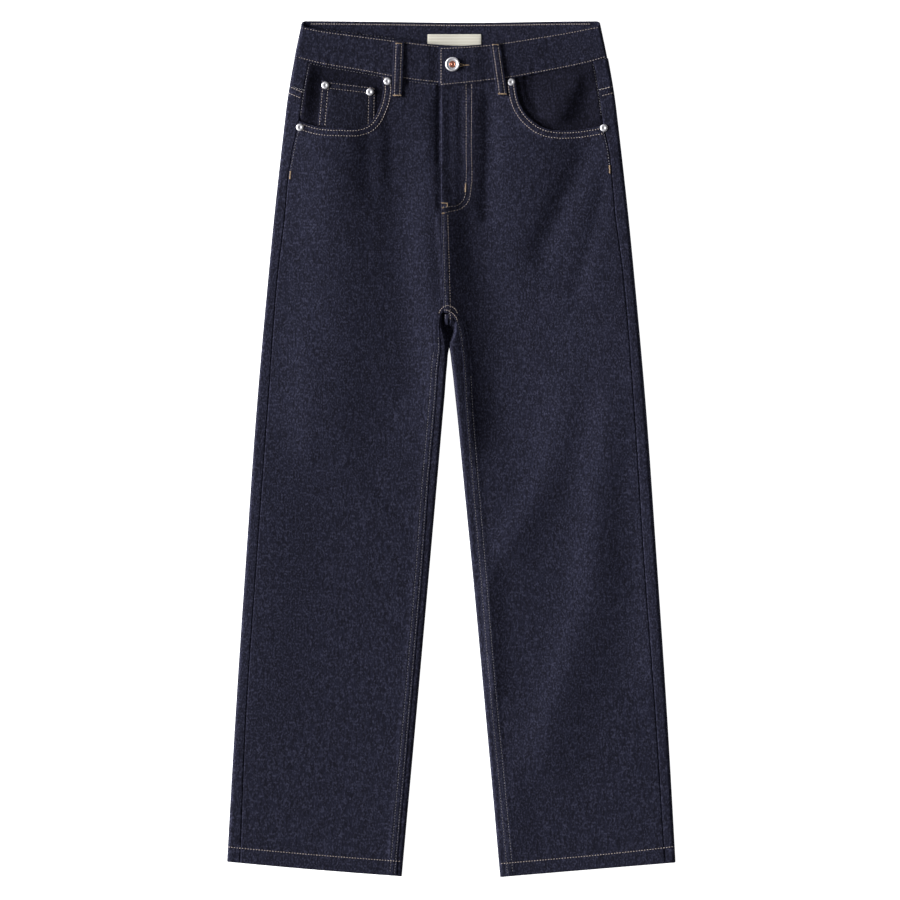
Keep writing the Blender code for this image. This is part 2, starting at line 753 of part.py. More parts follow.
def waist_label(woven):
    """A bare woven label on the inner face of the back waistband."""
    (x0, x1), (d0, d1) = LABEL_X, LABEL_DROP
    low = SEAT_LIFT + BAND + SEAM_GAP
    outline = ((x0, d0), (x1, d0), (x1, d1), (x0, d1))
    return plate("waist_label", outline, low, low + LABEL_WALL, woven)


# ---------------------------------------------------------------- trim


def top_height(x, drop):
    """The highest face at a point of the front: waistband, front panel or facing."""
    half = RIGHT if x < FLY_EDGE else LEFT
    if drop < float(band_edge(half, x, 2)):
        return float(band_height(half, x))
    return float(face(x, drop) + fly_step(half, x, drop))


def highest_under(at, radius):
    """The highest face under a round piece."""
    spots = [at]
    for angle in np.linspace(0, 2 * np.pi, 12, endpoint=False):
        for r in (radius / 2, radius):
            spots.append((at[0] + r * math.cos(angle), at[1] + r * math.sin(angle)))
    return max(top_height(x, d) for x, d in spots)


def front_loop(side, denim):
    """A belt loop that arches over the waistband and ends on the front panel."""
    (x0, d0), (x1, d1) = FRONT_LOOPS[side]
    t = LOOP_KNOTS[:, None]
    x = x0 + (x1 - x0) * t + np.linspace(-0.5, 0.5, 3)[None, :] * LOOP_WIDTH
    drop = d0 + (d1 - d0) * t + 0 * x
    level = np.zeros((len(t), 1))
    for k, (row_x, row_drops) in enumerate(zip(x, drop)):
        beneath = [top_height(a, d - lift) for a, d in zip(row_x, row_drops) for lift in (0, LOOP_REST)]
        level[k] = max(beneath)
    bulge = LOOP_BULGE * np.sin(np.pi * np.clip(t / 0.8, 0, 1)) ** 0.7
    z = level + bulge + SEAM_GAP + TRIM + 0 * x
    return sheet(f"belt_loop_front_{SIDE_NAME[side]}", x, drop, z, TRIM, denim)


def back_loop(place, x, denim):
    """A belt loop on the back of the waistband, flat under the garment."""
    top, bottom = BACK_LOOP_ENDS
    half = LOOP_WIDTH / 2
    outline = ((x - half, top), (x + half, top), (x + half, bottom), (x - half, bottom))
    return plate(f"belt_loop_back_{place}", outline, 0.0, TRIM, denim)


def back_pocket(side, denim):
    """A five-sided patch pocket on the seat, flat under the garment."""
    (top, top_drop), (foot, foot_drop), (_, point_drop) = BACK_POCKET
    middle = side * BACK_POCKET_X
    outline = (
        (middle - top, top_drop),
        (middle + top, top_drop),
        (middle + foot, foot_drop),
        (middle, point_drop),
        (middle - foot, foot_drop),
    )
    return plate(f"back_pocket_{SIDE_NAME[side]}", outline, 0.0, TRIM, denim)


def waist_button(nickel, copper):
    """The shank button: a dished ring, and the round centre that sits in it."""
    base = highest_under(BUTTON_AT, BUTTON_RADIUS) + SEAM_GAP
    r, h, well = BUTTON_RADIUS, BUTTON_HEIGHT, BUTTON_CENTRE_RADIUS + SEAM_GAP
    ring = (
        (0, 0),
        (r - 2.4, 0),
        (r - 0.6, 0.9),
        (r, 1.7),
        (r - 0.5, h - 0.4),
        (r - 1.7, h),
        (well + 1.2, h - 0.7),
        (well, h - 0.9),
        (well, h - 1.8),
        (0, h - 1.8),
    )
    turned("waist_button", BUTTON_AT, base, ring, nickel, steps=24)
    c = BUTTON_CENTRE_RADIUS
    low = h - 1.8 + SEAM_GAP
    centre = ((0, low), (c, low), (c, h - 0.9), (c - 0.6, h - 0.5), (c - 1.6, h - 0.4), (0, h - 0.6))
    turned("button_centre", BUTTON_AT, base, centre, copper, steps=20)


def rivet(name, at, nickel):
    """A domed rivet with a dimple in its middle."""
    base = highest_under(at, RIVET_RADIUS) + SEAM_GAP
    if name.startswith("rivet_coin"):
        base = max(float(coin_height(at[0] + k, at[1] + j)) for k in (-5, 0, 5) for j in (-5, 0, 5))
        base += SEAM_GAP
    r, h = RIVET_RADIUS, RIVET_HEIGHT
    profile = ((0, 0), (r - 0.4, 0), (r, 0.3), (r - 0.5, 0.8), (r - 1.7, h), (1.3, h), (0, h - 0.5))
    return turned(name, at, base, profile, nickel, steps=14)


def build():
    for old in list(bpy.data.objects):
        bpy.data.objects.remove(old, do_unlink=True)
    denim = finish("indigo_denim", "262633", 0.85)
    nickel = finish("brushed_nickel", "B9BABC", 0.35, 1.0)
    copper = finish("copper", "A8623C", 0.35, 1.0)
    woven = finish("cream_woven_label", "E4DECF", 0.8)
    for side in (RIGHT, LEFT):
        back_panel(side, denim)
        yoke(side, denim)
        front_panel(side, denim)
        pocket_facing(side, denim)
        front_loop(side, denim)
        back_pocket(side, denim)
    coin_pocket(denim)
    waistband(denim)
    waist_label(woven)
    for place, x in BACK_LOOPS.items():
        back_loop(place, x, denim)
    waist_button(nickel, copper)
    for name, at in RIVETS.items():
        rivet(name, at, nickel)


build()
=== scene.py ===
# %% [markdown]
# # Straight leg jeans, laid flat with the front up
#
# The real garment is sewn from flat cuts of indigo denim: two fronts, two backs, two yokes, a
# waistband, pocket facings, loops and pockets. Here each cut is a thin shell, worked out as a
# surface on a grid, and the thread that holds the cuts together is a mesh of its own.
#
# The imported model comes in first. It fixes every size, and nothing below moves or changes it.

# %% Load the fixed frame
import math

import bpy
import numpy as np
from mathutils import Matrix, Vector
from mathutils.bvhtree import BVHTree


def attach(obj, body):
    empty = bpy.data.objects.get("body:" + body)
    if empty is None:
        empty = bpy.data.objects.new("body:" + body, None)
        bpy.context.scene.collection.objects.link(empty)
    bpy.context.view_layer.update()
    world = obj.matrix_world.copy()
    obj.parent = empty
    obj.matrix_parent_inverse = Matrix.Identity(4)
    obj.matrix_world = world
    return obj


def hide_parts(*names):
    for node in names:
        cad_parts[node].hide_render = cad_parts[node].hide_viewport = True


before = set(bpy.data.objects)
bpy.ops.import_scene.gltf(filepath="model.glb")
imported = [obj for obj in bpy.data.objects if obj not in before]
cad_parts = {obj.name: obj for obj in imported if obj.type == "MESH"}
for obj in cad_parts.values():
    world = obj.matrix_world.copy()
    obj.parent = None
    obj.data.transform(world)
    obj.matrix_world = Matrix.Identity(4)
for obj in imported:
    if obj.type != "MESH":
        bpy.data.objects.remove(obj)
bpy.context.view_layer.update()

# %% [markdown]
# ## Sizes
#
# A pattern cutter measures down from the waist and across from the centre. So a point has an x,
# which runs to the wearer's left, a drop, which is the distance down from the top of the
# waistband, and a z, its height above the floor, all in millimetres. The wearer's left is side
# +1 and the right is side -1. A distance called "across" is side * x, so it grows outwards.
#
# One could trace every piece by hand. Short tables with a smooth curve through them are easier
# to read. The solids were made from the same ones, apart from small corrections to the hems, the
# back edge of the waistband and a few creases.

# %% Lengths, walls and heights
MM = 0.001
LEFT, RIGHT = 1, -1
SIDE_NAME = {LEFT: "left", RIGHT: "right"}

LENGTH = 1023.6
SEAM_GAP = 0.3
CLOTH, BAND, HEM_WALL, COIN_WALL, LABEL_WALL, TRIM = 1.4, 2.2, 1.8, 1.0, 0.6, 1.4
SEAT_LIFT = TRIM + SEAM_GAP
SEAT_END, LEG_START = 285.0, 320.0
HIP_LOFT, LEG_LOFT, BAND_LOFT = 6.8, 6.4, 8.2
FOLD_ROUND = 4.0
HEM_DEPTH, HEM_OUTER = 18.0, 1006.2
# How far each hem hangs below the line between its ends: everywhere, and more in the middle.
HEM_SAG = {RIGHT: (1.0, 0.7), LEFT: (1.9, 0.0)}
HEM_START, HEM_SPAN = 60.0, 205.0


def table(*rows):
    """Rows of numbers as an array, so that a column of it can be read."""
    return np.array(rows, float)


print("walls of", CLOTH, "mm, the waistband's", BAND, "mm and the hems'", HEM_WALL, "mm")

# %% Silhouette, seams and pocket openings
OUTLINE = table(  # drop, half width, strip right, strip left
    (0, 179.0, 18.5, 18.0), (45, 188.3, 18.5, 18.0), (93, 196.4, 18.0, 17.4),
    (120, 199.7, 17.6, 17.2), (150, 203.2, 14.2, 14.0), (190, 207.7, 12.2, 13.8),
    (225, 211.5, 13.2, 14.6), (300, 218.9, 11.6, 12.3), (453, 232.6, 13.7, 13.2),
    (645, 246.3, 13.4, 14.4), (837, 259.1, 13.2, 13.0), (1003, 268.7, 16.0, 12.0),
)
CROTCH_X = -1.9
FORK = table(  # drop, middle, half gap
    (390.5, CROTCH_X, 0.0), (399, -2.0, 1.5), (453, -1.4, 7.3), (549, -0.9, 16.2),
    (645, -0.4, 25.2), (837, -0.1, 42.6), (1024, -0.2, 59.6),
)
CROTCH_DROP = 350.0
INSEAM = table(  # drop, strip right, strip left
    (350, 9.4, 1.9), (356, 10.7, 6.4), (369, 11.1, 11.0), (380, 10.5, 13.0), (393, 9.6, 14.2),
    (413, 9.1, 13.2), (430, 8.8, 12.4), (453, 8.5, 11.0), (549, 8.6, 9.0), (645, 7.0, 7.5),
    (791, 6.2, 6.0), (910, 5.8, 6.5), (1024, 5.4, 6.7),
)
FLY_EDGE = -11.8
FLY_END = 215.0
CENTRE_FRONT = table(  # drop, right edge x, left edge x
    (73, 2.0, FLY_EDGE), (203, 2.0, FLY_EDGE), (FLY_END, FLY_EDGE - SEAM_GAP, FLY_EDGE),
    (240, -11.9, -11.6), (333, -9.1, -8.8), (344, -9.1, -8.8), (347.5, -9.5, -8.3),
    (350, -11.0, -3.6),
)
FLY_WIDTH = 36.0
FLY_RAISE, FLY_DIP = 0.9, 1.5
FLY_SWELL, FLY_SWELL_REACH = 1.5, 14.0
BAND_RIGHT = table(  # x, top drop, bottom drop
    (-187, 3.0, 43.0), (-157, 8.7, 50.4), (-109, 15.4, 58.8), (-56, 22.2, 68.4), (-13, 27.0, 73.2),
    (26, 28.6, 72.4),
)
BAND_LEFT = table(  # x, top drop, bottom drop
    (-14, 29.6, 76.9), (23, 27.6, 73.2), (49, 25.2, 70.2), (71, 22.2, 67.2), (107, 16.4, 60.8),
    (143, 10.4, 53.8), (167, 5.6, 48.5), (187, 2.6, 42.6),
)
BACK_BAND_TOP = table(  # x, drop
    (-187, -1.9), (-137, -1.5), (-80, -0.9), (-22, -0.1), (6, 0.2), (64, -0.2), (122, -1.2),
    (187, -1.8),
)
BACK_BAND_BOTTOM = 42.8
BAND_END_X = {RIGHT: 24.0, LEFT: -13.8}
BAND_DIP, BAND_RAISE, BAND_FALL = 1.2, 1.3, 2.6
YOKE_OUTER, YOKE_CENTRE = 76.0, 128.0
POCKET_RIGHT = table(  # x, drop
    (-83.4, 63.8), (-81.4, 81.0), (-83.2, 93.0), (-87.4, 105.0), (-93.4, 116.5), (-99.8, 122.6),
    (-109.0, 126.0), (-133.0, 126.8), (-157.0, 125.4), (-181.6, 118.6),
)
POCKET_LEFT = table(  # x, drop
    (77.4, 65.8), (80.6, 89.4), (84.2, 100.2), (90.2, 109.8), (98.6, 118.2), (107.0, 124.2),
    (116.6, 127.8), (131.0, 129.6), (149.0, 129.0), (182.2, 124.2),
)
POCKETS = {RIGHT: POCKET_RIGHT, LEFT: POCKET_LEFT}
FACING_TOP, FACING_BOTTOM = 60.0, 141.0
FACING_INNER = {RIGHT: 68.0, LEFT: 64.0}
FACING_SINK = {RIGHT: 3.3, LEFT: 2.1}
FACING_FLOOR = 2 * CLOTH + SEAM_GAP
COIN_TOP = ((-155.2, 69.0), (-89.8, 77.4))
COIN_BOTTOM = ((-161.0, 134.0), (-90.4, 136.0))
COIN_WIDTH, COIN_DEPTH = 66, 62

# Rows of the cloth: the drop at the outer and the inner edge of each.
SEAT_ROWS = (
    (YOKE_OUTER + SEAM_GAP, YOKE_CENTRE + SEAM_GAP), (118, 150), (150, 178), (168, 192), (190, 208),
    (225, 236), (262, 268), (285, 288), (300, 302), (320, 322), (336, 337),
)
FRONT_ROWS = (
    (150, 215), (168, 228), (190, 240), (225, 264), (262, 288), (300, 314), (330, 333), (343, 344),
)
LEG_ROWS = tuple((d, d) for d in (350, 393, 495, 720, 880))
HEM_TOP = (HEM_OUTER - HEM_DEPTH, LENGTH - HEM_DEPTH)
HEM_ROWS = ((920, 924), (955, 965), HEM_TOP, (HEM_OUTER, LENGTH))
print("silhouette", 2 * OUTLINE[-1, 1], "mm wide at the hem,", LENGTH, "mm long")

# %% Trim
LOOP_WIDTH = 13.2
FRONT_LOOPS = {RIGHT: ((-62.2, 23.0), (-64.6, 90.0)), LEFT: ((53.0, 24.6), (62.0, 88.0))}
LOOP_BULGE = {RIGHT: 0.7, LEFT: 0.25}
BACK_LOOPS = {"right": -112.0, "centre": CROTCH_X, "left": 112.0}
BACK_LOOP_ENDS = (2.4, 54.0)
BACK_POCKET_X = 102.0
BACK_POCKET = ((70.0, 126.0), (66.0, 250.0), (0.0, 275.0))
BUTTON_AT = (2.0, 50.4)
BUTTON_RADIUS, BUTTON_HEIGHT, BUTTON_CENTRE_RADIUS = 8.6, 3.0, 3.9
RIVET_RADIUS, RIVET_HEIGHT = 4.5, 1.3
RIVETS = {
    "rivet_pocket_right_inner": (-76.0, 70.6),
    "rivet_pocket_right_outer": (-181.0, 126.0),
    "rivet_coin_outer": (-150.6, 75.4),
    "rivet_coin_inner": (-97.0, 83.4),
    "rivet_pocket_left_inner": (72.6, 71.6),
    "rivet_pocket_left_outer": (183.6, 126.6),
}
LABEL_X, LABEL_DROP = (-28.0, 36.2), (14.0, 39.0)
print(len(FRONT_LOOPS) + len(BACK_LOOPS), "belt loops and", len(RIVETS), "rivets to come")

# %% [markdown]
# ## Smooth curves
#
# Cloth has no corners except where it is cut, so each table is read through a curve that passes
# its rows and shares a slope on both sides of each. Straight runs between rows would show as
# kinks in the silhouette.

# %% Curves


def ramp(start, end, at):
    """A smooth step, 3t squared less 2t cubed: 0 before start, 1 after end, with level ends."""
    t = np.clip((at - start) / (end - start), 0.0, 1.0)
    return t * t * (3.0 - 2.0 * t)


def eased(knots, values, at):
    """A smooth curve through the knots: cubic pieces that share their slope at each knot."""
    slopes = np.gradient(values, knots)
    i = np.clip(np.searchsorted(knots, at) - 1, 0, len(knots) - 2)
    span = knots[i + 1] - knots[i]
    t = np.clip((at - knots[i]) / span, 0.0, 1.0)
    rise = values[i] * (1 + 2 * t) * (1 - t) ** 2 + values[i + 1] * t * t * (3 - 2 * t)
    return rise + span * (slopes[i] * t * (1 - t) ** 2 - slopes[i + 1] * t * t * (1 - t))


def run_of(points):
    """The distance walked along a line of points, at each of them."""
    return np.concatenate([[0], np.cumsum(np.hypot(*np.diff(points, axis=0).T))])


def along(points, count):
    """Evenly spaced points on the smooth curve through the given points."""
    length = run_of(points)
    at = np.linspace(0, length[-1], count)
    return np.stack([eased(length, points[:, k], at) for k in (0, 1)], axis=-1)


def fill(knots, step):
    """Rows of knots with evenly spaced rows added between them, at most one step apart."""
    knots = np.asarray(knots, float)
    spans = np.ceil(np.abs(np.diff(knots, axis=0)).max(axis=1) / step).astype(int)
    at = np.concatenate([k + np.arange(n) / n for k, n in enumerate(spans)] + [[len(spans)]])
    return np.stack([np.interp(at, np.arange(len(knots)), column) for column in knots.T], axis=-1)


def read(rows, column, at):
    """A table's column, read off a smooth curve at values of its first column."""
    return eased(rows[:, 0], rows[:, column], at)


# In the tables of both sides the last two columns are the right one's and the left one's.
OF_SIDE = {RIGHT: -2, LEFT: -1}


def half_width(drop):
    """How far across the outer silhouette lies, the same on both sides."""
    return read(OUTLINE, 1, drop)


def side_seam(side, drop):
    """How far across the side seam lies."""
    return half_width(drop) - read(OUTLINE, OF_SIDE[side], drop)


def inner_edge(side, drop):
    """How far across the inner silhouette lies. Above the fork it is the centre line."""
    return side * read(FORK, 1, drop) + read(FORK, 2, drop)


def inseam(side, drop):
    """How far across the inseam lies, below the crotch."""
    return inner_edge(side, drop) + read(INSEAM, OF_SIDE[side], drop)


def front_inner(side, drop):
    """How far across the front panel's inner edge lies: centre front, then inseam."""
    centre = side * np.interp(drop, CENTRE_FRONT[:, 0], CENTRE_FRONT[:, OF_SIDE[side]])
    return np.where(drop < CROTCH_DROP, centre, inseam(side, drop) + SEAM_GAP / 2)


def band_edge(half, x, which):
    """The drop of the front waistband's top (which=1) or bottom (which=2) edge."""
    return read(BAND_RIGHT if half == RIGHT else BAND_LEFT, which, x)


def band_bottom(x, split=FLY_EDGE):
    """The waistband's bottom edge: the right half's as far as split, and then the left half's."""
    return np.where(x < split, band_edge(RIGHT, x, 2), band_edge(LEFT, x, 2))


def row_drop(side, outer_drop, inner_drop, across):
    """The drop on a row that runs straight from the silhouette to the inner edge."""
    outer, inner = half_width(outer_drop), inner_edge(side, inner_drop)
    return outer_drop + (inner_drop - outer_drop) * (outer - across) / (outer - inner)


print("side seam at the knee", float(side_seam(LEFT, 600.0)), "mm across")

# %% [markdown]
# ## Heights and folds
#
# A pair of jeans on a table is two layers of denim with a little air between them. It is highest
# over the hips, where the layers of the waistband, fly and pockets meet, and it lies lower along
# the legs. Soft folds run down from the pockets and the crotch.
#
# A cloth simulation would drape the folds by chance. They are listed one by one instead, because
# their places are known: each is a bell-shaped ridge or trough along a curved line, with its own
# length, height and a reach to either side, so that a fold may be steep on one side only.

# %% The folds of the front
FOLDS = (
    # x, drop       x, drop       x, drop       reach right and left, height
    ((-139, 150), (-136, 333), (-142, 470), 50, 50, 4.2),
    ((-146, 130), (-146, 165), (-144, 215), 40, 40, 1.6),
    ((-206, 130), (-220, 300), (-230, 440), 40, 44, -1.7),
    ((-100, 138), (-100, 160), (-98, 195), 12, 10, -1.5),
    ((-74, 125), (-73, 150), (-72, 190), 8, 8, -1.0),
    ((-60, 150), (-59, 270), (-44, 429), 26, 22, -2.3),
    ((-174, 380), (-174, 443), (-172, 510), 14, 14, 0.8),
    ((-95, 549), (-73, 578), (-51, 607), 9, 9, -0.6),
    ((-218, 600), (-224, 700), (-232, 800), 30, 50, 1.4),
    ((-14, 84), (-14, 130), (-14, 165), 9, 2, -1.7),
    ((-2, 84), (-2, 150), (-1, 203), 7, 6, -0.8),
    ((11.6, 84), (12, 130), (13, 200), 5, 5, -0.9),
    ((44, 84), (44, 160), (42, 232), 7, 14, -2.3),
    ((-20, 240), (-15, 290), (-13, 325), 8, 3.5, -0.8),
    ((-8, 240), (-6, 335), (12, 475), 66, 22, 5.2),
    ((28, 256), (46, 340), (58, 480), 22, 34, -2.2),
    ((62, 325), (72, 380), (74, 450), 40, 90, -1.4),
    ((104, 130), (98, 205), (80, 270), 45, 30, 1.6),
    ((161, 157), (140, 205), (110, 270), 17, 16, -2.6),
    ((182, 200), (168, 261), (150, 320), 10, 10, -1.0),
    ((214, 310), (214, 400), (222, 500), 84, 40, 4.8),
    ((138, 455), (114, 549), (72, 625), 23, 26, 2.4),
    ((190, 470), (180, 549), (174, 640), 24, 29, 3.3),
    ((170, 685), (150, 750), (112, 870), 26, 40, 3.2),
    ((238, 440), (246, 600), (250, 760), 26, 40, 3.0),
    ((46, 660), (48, 720), (52, 800), 8, 14, 2.2),
    ((72, 900), (74, 950), (76, 985), 10, 22, 1.3),
)


def under(drop):
    """The height of the cloth's underside."""
    return SEAT_LIFT * (1 - ramp(SEAT_END, LEG_START, drop))


def crest(drop):
    """The height of the front's face where no fold passes."""
    return under(drop) + HIP_LOFT + (LEG_LOFT - HIP_LOFT) * ramp(SEAT_END, LEG_START, drop)


def folds(x, drop):
    """The folds' height: along each, a bell across its line that fades past its two ends."""
    total = np.zeros(np.broadcast(x, drop).shape)
    for first, middle, last, right, left, height in FOLDS:
        knots = np.array([first[1], middle[1], last[1]], float)
        line = eased(knots, np.array([first[0], middle[0], last[0]], float), drop)
        reach = np.where(x < line, right, left)
        past = np.maximum(knots[0] - drop, drop - knots[2]).clip(0)
        total += height * np.exp(-(((x - line) / reach) ** 2) - (past / (0.6 * (right + left))) ** 2)
    return total


def face(x, drop):
    """The height of the front's face. Folds fade towards the waistband and the hem."""
    fade = ramp(2, 26, drop - band_bottom(x, 0.0)) * ramp(4, 40, LENGTH - drop)
    return crest(drop) + folds(x, drop) * fade


def fly_step(side, x, drop):
    """The left front's rise over the fly, and the right front's dip beneath it."""
    ends = 1 - ramp(FLY_END, FLY_END + 22, drop)
    if side == LEFT:
        swell = FLY_SWELL * np.exp(-(((x - FLY_EDGE) / FLY_SWELL_REACH) ** 2))
        return ends * (FLY_RAISE * (1 - ramp(FLY_WIDTH - 12, FLY_WIDTH, x)) + swell)
    return -FLY_DIP * ends * ramp(FLY_EDGE - 8, FLY_EDGE - 1, x)


print(len(FOLDS), "folds; the face is", float(crest(600.0)), "mm high on the legs")

# %% [markdown]
# ## What sewing does to a seam
#
# Where a panel is turned in and stitched it is two or three layers thick, each row of stitches
# pulls a fine groove into it, and the thread draws the cloth up into small uneven ripples that
# run square to the seam. These three are heights added to the surface, so they catch the light
# as real ones do, which a painted line can't.

# %% Seam relief
GROOVE_DEPTH, GROOVE_REACH = 0.3, 1.0
EDGE_ROLL = 0.55


def ripples(run, start):
    """Uneven ripples along a seam: waves of 9.5 and 14 mm that swell and fade over 53 mm."""
    swell = 0.6 + 0.4 * np.sin(2 * np.pi * run / 53 + 1.7 * start)
    short = np.sin(2 * np.pi * run / 9.5 + start)
    return swell * (0.6 * short + 0.4 * np.sin(2 * np.pi * run / 14 + 2 * start))


def rolled(inside, reach=1.6):
    """How far a cut or folded edge rolls down: most at the edge, nothing a reach inside it."""
    return -EDGE_ROLL * (1 - np.clip(inside / reach, 0, 1)) ** 2


def groove(distance):
    """The groove under a row of stitches, a bell across it."""
    return -GROOVE_DEPTH * np.exp(-((distance / GROOVE_REACH) ** 2))


def grooves(inside, lines):
    """The grooves under the rows of stitches that run at some distances inside an edge."""
    return sum(groove(inside - line) for line in lines)


def sewn(inside, run, lines, width, lift, start, pucker=0.3):
    """A stitched strip along an edge: it is raised as far as width inside the edge, grooved at
    each line of stitches, and rippled, with ripples that die out over 8 mm beyond the strip."""
    strip = lift * (1 - ramp(width - 1.5, width + 2.5, inside))
    beyond = np.exp(-((np.maximum(inside - width, 0) / 8) ** 2))
    return strip + grooves(inside, lines) + pucker * ripples(run, start) * beyond


# Rows of stitches, as distances in mm inside the edge of the piece that they hold.
INSEAM_LINES = {RIGHT: (2.5, 8.1), LEFT: (1.9, 8.5)}
CENTRE_LINES = (2.3, 8.1)
POCKET_LINES = (3.0, 9.3)
SIDE_LINE = 1.9
SIDE_STITCH_END = 184.0
BAND_LINE, BACK_BAND_LINE = 2.1, 3.3
YOKE_LINES = (0.9, 8.8)
COIN_LINES = (2.2, 8.5)
BACK_POCKET_LINES = (2.4, 8.6)
LOOP_LINE = 3.4
LOOP_ROWS = (LOOP_LINE - LOOP_WIDTH / 2, LOOP_WIDTH / 2 - LOOP_LINE)
J_INNER = table(
    (18.4, 74), (18.4, 150), (17.8, 196), (15.6, 212), (8, 219.6), (-2, 221.2), (-10.6, 223),
)
J_OUTER = table(
    (25.0, 74), (24.6, 150), (24.0, 200), (20.4, 216), (11, 224), (0, 226.8), (-10.8, 229.4),
)


def to_line(x, drop, line):
    """The distance from each point to a curve, measured to the nearest of its closely set points."""
    spots = along(line, 140)
    gap = np.full(np.broadcast(x, drop).shape, np.inf)
    for spot_x, spot_drop in spots:
        gap = np.minimum(gap, (x - spot_x) ** 2 + (drop - spot_drop) ** 2)
    return np.sqrt(gap)


def hem_share(across):
    """The share of the hem's width between its inner and its outer end."""
    return np.clip((across - HEM_START) / HEM_SPAN, 0, 1)


def hem_sag(side, across):
    """How far the hem hangs below the line between its ends: an even part and a half sine wave."""
    everywhere, middle = HEM_SAG[side]
    return everywhere + middle * np.sin(np.pi * hem_share(across))


def hem_drop(side, across):
    """The drop of the hem."""
    return row_drop(side, HEM_OUTER, LENGTH, across) + hem_sag(side, across)


def hem_line(side, across):
    """How far above the hem its stitches run. The left row climbs towards the side seam."""
    return 17.9 + 0 * across if side == RIGHT else 16.2 + 3.0 * hem_share(across) ** 3


def hung(side, across, drop):
    """The drop of points that hang with the hem, whose sag comes in from 940 to 1004 mm."""
    return drop + hem_sag(side, across) * ramp(940, 1004, drop)


def thickness(side, across, drop):
    """The wall of a leg, which is thicker in the hem."""
    above = hem_drop(side, across) - drop
    return CLOTH + (HEM_WALL - CLOTH) * ramp(HEM_DEPTH + 2, HEM_DEPTH - 2, above)


def front_relief(side, x, drop):
    """The relief of every seam that bounds a front, added up."""
    across = side * x
    seam = across - front_inner(side, drop)
    outer = side_seam(side, drop) - SEAM_GAP / 2 - across
    below = ramp(CROTCH_DROP - 6, CROTCH_DROP + 14, drop)
    total = below * sewn(seam, drop, INSEAM_LINES[side], 10.5, 0.55, 1.0 + side)
    if side == LEFT:
        centre = ramp(FLY_END + 2, FLY_END + 16, drop) * (1 - below)
        total += rolled(seam, 0.9) + centre * sewn(seam, drop, CENTRE_LINES, 9.0, 0.5, 0.4, 0.2)
        curves = (drop < FLY_END + 18) & (x < 34)
        j_grooves = groove(to_line(x, drop, J_INNER)) + groove(to_line(x, drop, J_OUTER))
        total += (j_grooves + 0.12 * ripples(drop, 2.2)) * curves
    else:
        total += (0.3 + 0.7 * below) * rolled(seam)
    stitched = 1 - ramp(SIDE_STITCH_END - 4, SIDE_STITCH_END + 4, drop)
    total += stitched * sewn(outer, drop, (SIDE_LINE,), 4.0, 0.25, 3.0, 0.15) + rolled(outer)
    opening = to_line(x, drop, POCKETS[side])
    lift = 0.55 if side == RIGHT else 0.9
    pocket = sewn(opening, across + drop, POCKET_LINES, 10.5, lift, 0.9 + side, 0.22) + rolled(opening)
    total += pocket * (1 - ramp(138, 150, drop))
    total += 0.35 * ripples(x, 2.0 + side) * np.exp(-(((drop - band_bottom(x)) / 9) ** 2))
    hem, line = hem_drop(side, across) - drop, hem_line(side, across)
    total += sewn(hem, across + 0.8 * hem, (line,), line + 1.5, 0.5, 1.3 + side, 0.25) + rolled(hem)
    if side == RIGHT:
        covered = ramp(FLY_EDGE - 3, FLY_EDGE - 1, x) * (1 - ramp(FLY_END - 2, FLY_END + 10, drop))
        total *= 1 - covered
    return total


print("inseam lines of the left leg lie", INSEAM_LINES[LEFT], "mm inside the seam")

# %% [markdown]
# ## From a grid to a piece of cloth
#
# Each shell is made from two grids of points, the outer face and the inner face one wall below
# it, joined round the rim. A Solidify modifier could give the wall, but two grids let the face
# carry seams and ripples while the inner side stays plain and clear of the layer beneath it.

# %% Meshes
PIECES = {}


def place(points):
    """Points of x, drop and z in millimetres as points of the frame, in metres."""
    return np.stack([points[:, 0], LENGTH / 2 - points[:, 1], points[:, 2]], axis=-1) * MM


def volume(points, faces):
    """Six times the volume inside the faces, by adding a cone to the origin over each triangle."""
    total = 0.0
    for group in faces:
        for k in range(1, group.shape[1] - 1):
            a, b, c = points[group[:, 0]], points[group[:, k]], points[group[:, k + 1]]
            total += float((a * np.cross(b, c)).sum())
    return total


def link(name, data):
    """A new object of the scene."""
    made = bpy.data.objects.new(name, data)
    bpy.context.scene.collection.objects.link(made)
    return made


def add_piece(name, points, faces, material, slot=None, stands_for=(), sharp=42):
    """Make a piece from points in millimetres and arrays of faces, turned so that they face out."""
    points = place(points.reshape(-1, 3))
    if volume(points, faces) < 0:
        faces = [group[:, ::-1] for group in faces]
    sizes = np.concatenate([np.full(len(group), group.shape[1]) for group in faces])
    used, corners = np.unique(np.concatenate([group.ravel() for group in faces]), return_inverse=True)
    mesh = bpy.data.meshes.new(name)
    mesh.vertices.add(len(used))
    mesh.vertices.foreach_set("co", points[used].ravel())
    mesh.loops.add(len(corners))
    mesh.loops.foreach_set("vertex_index", corners.ravel())
    mesh.polygons.add(len(sizes))
    mesh.polygons.foreach_set("loop_start", np.cumsum(sizes) - sizes)
    mesh.update(calc_edges=True)
    mesh.materials.append(material)
    mesh.shade_smooth()
    mesh.set_sharp_from_angle(angle=math.radians(sharp))
    piece = link(name, mesh)
    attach(piece, "root")
    if stands_for:
        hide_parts(*stands_for)
    PIECES[name] = int((sizes - 2).sum())
    return piece


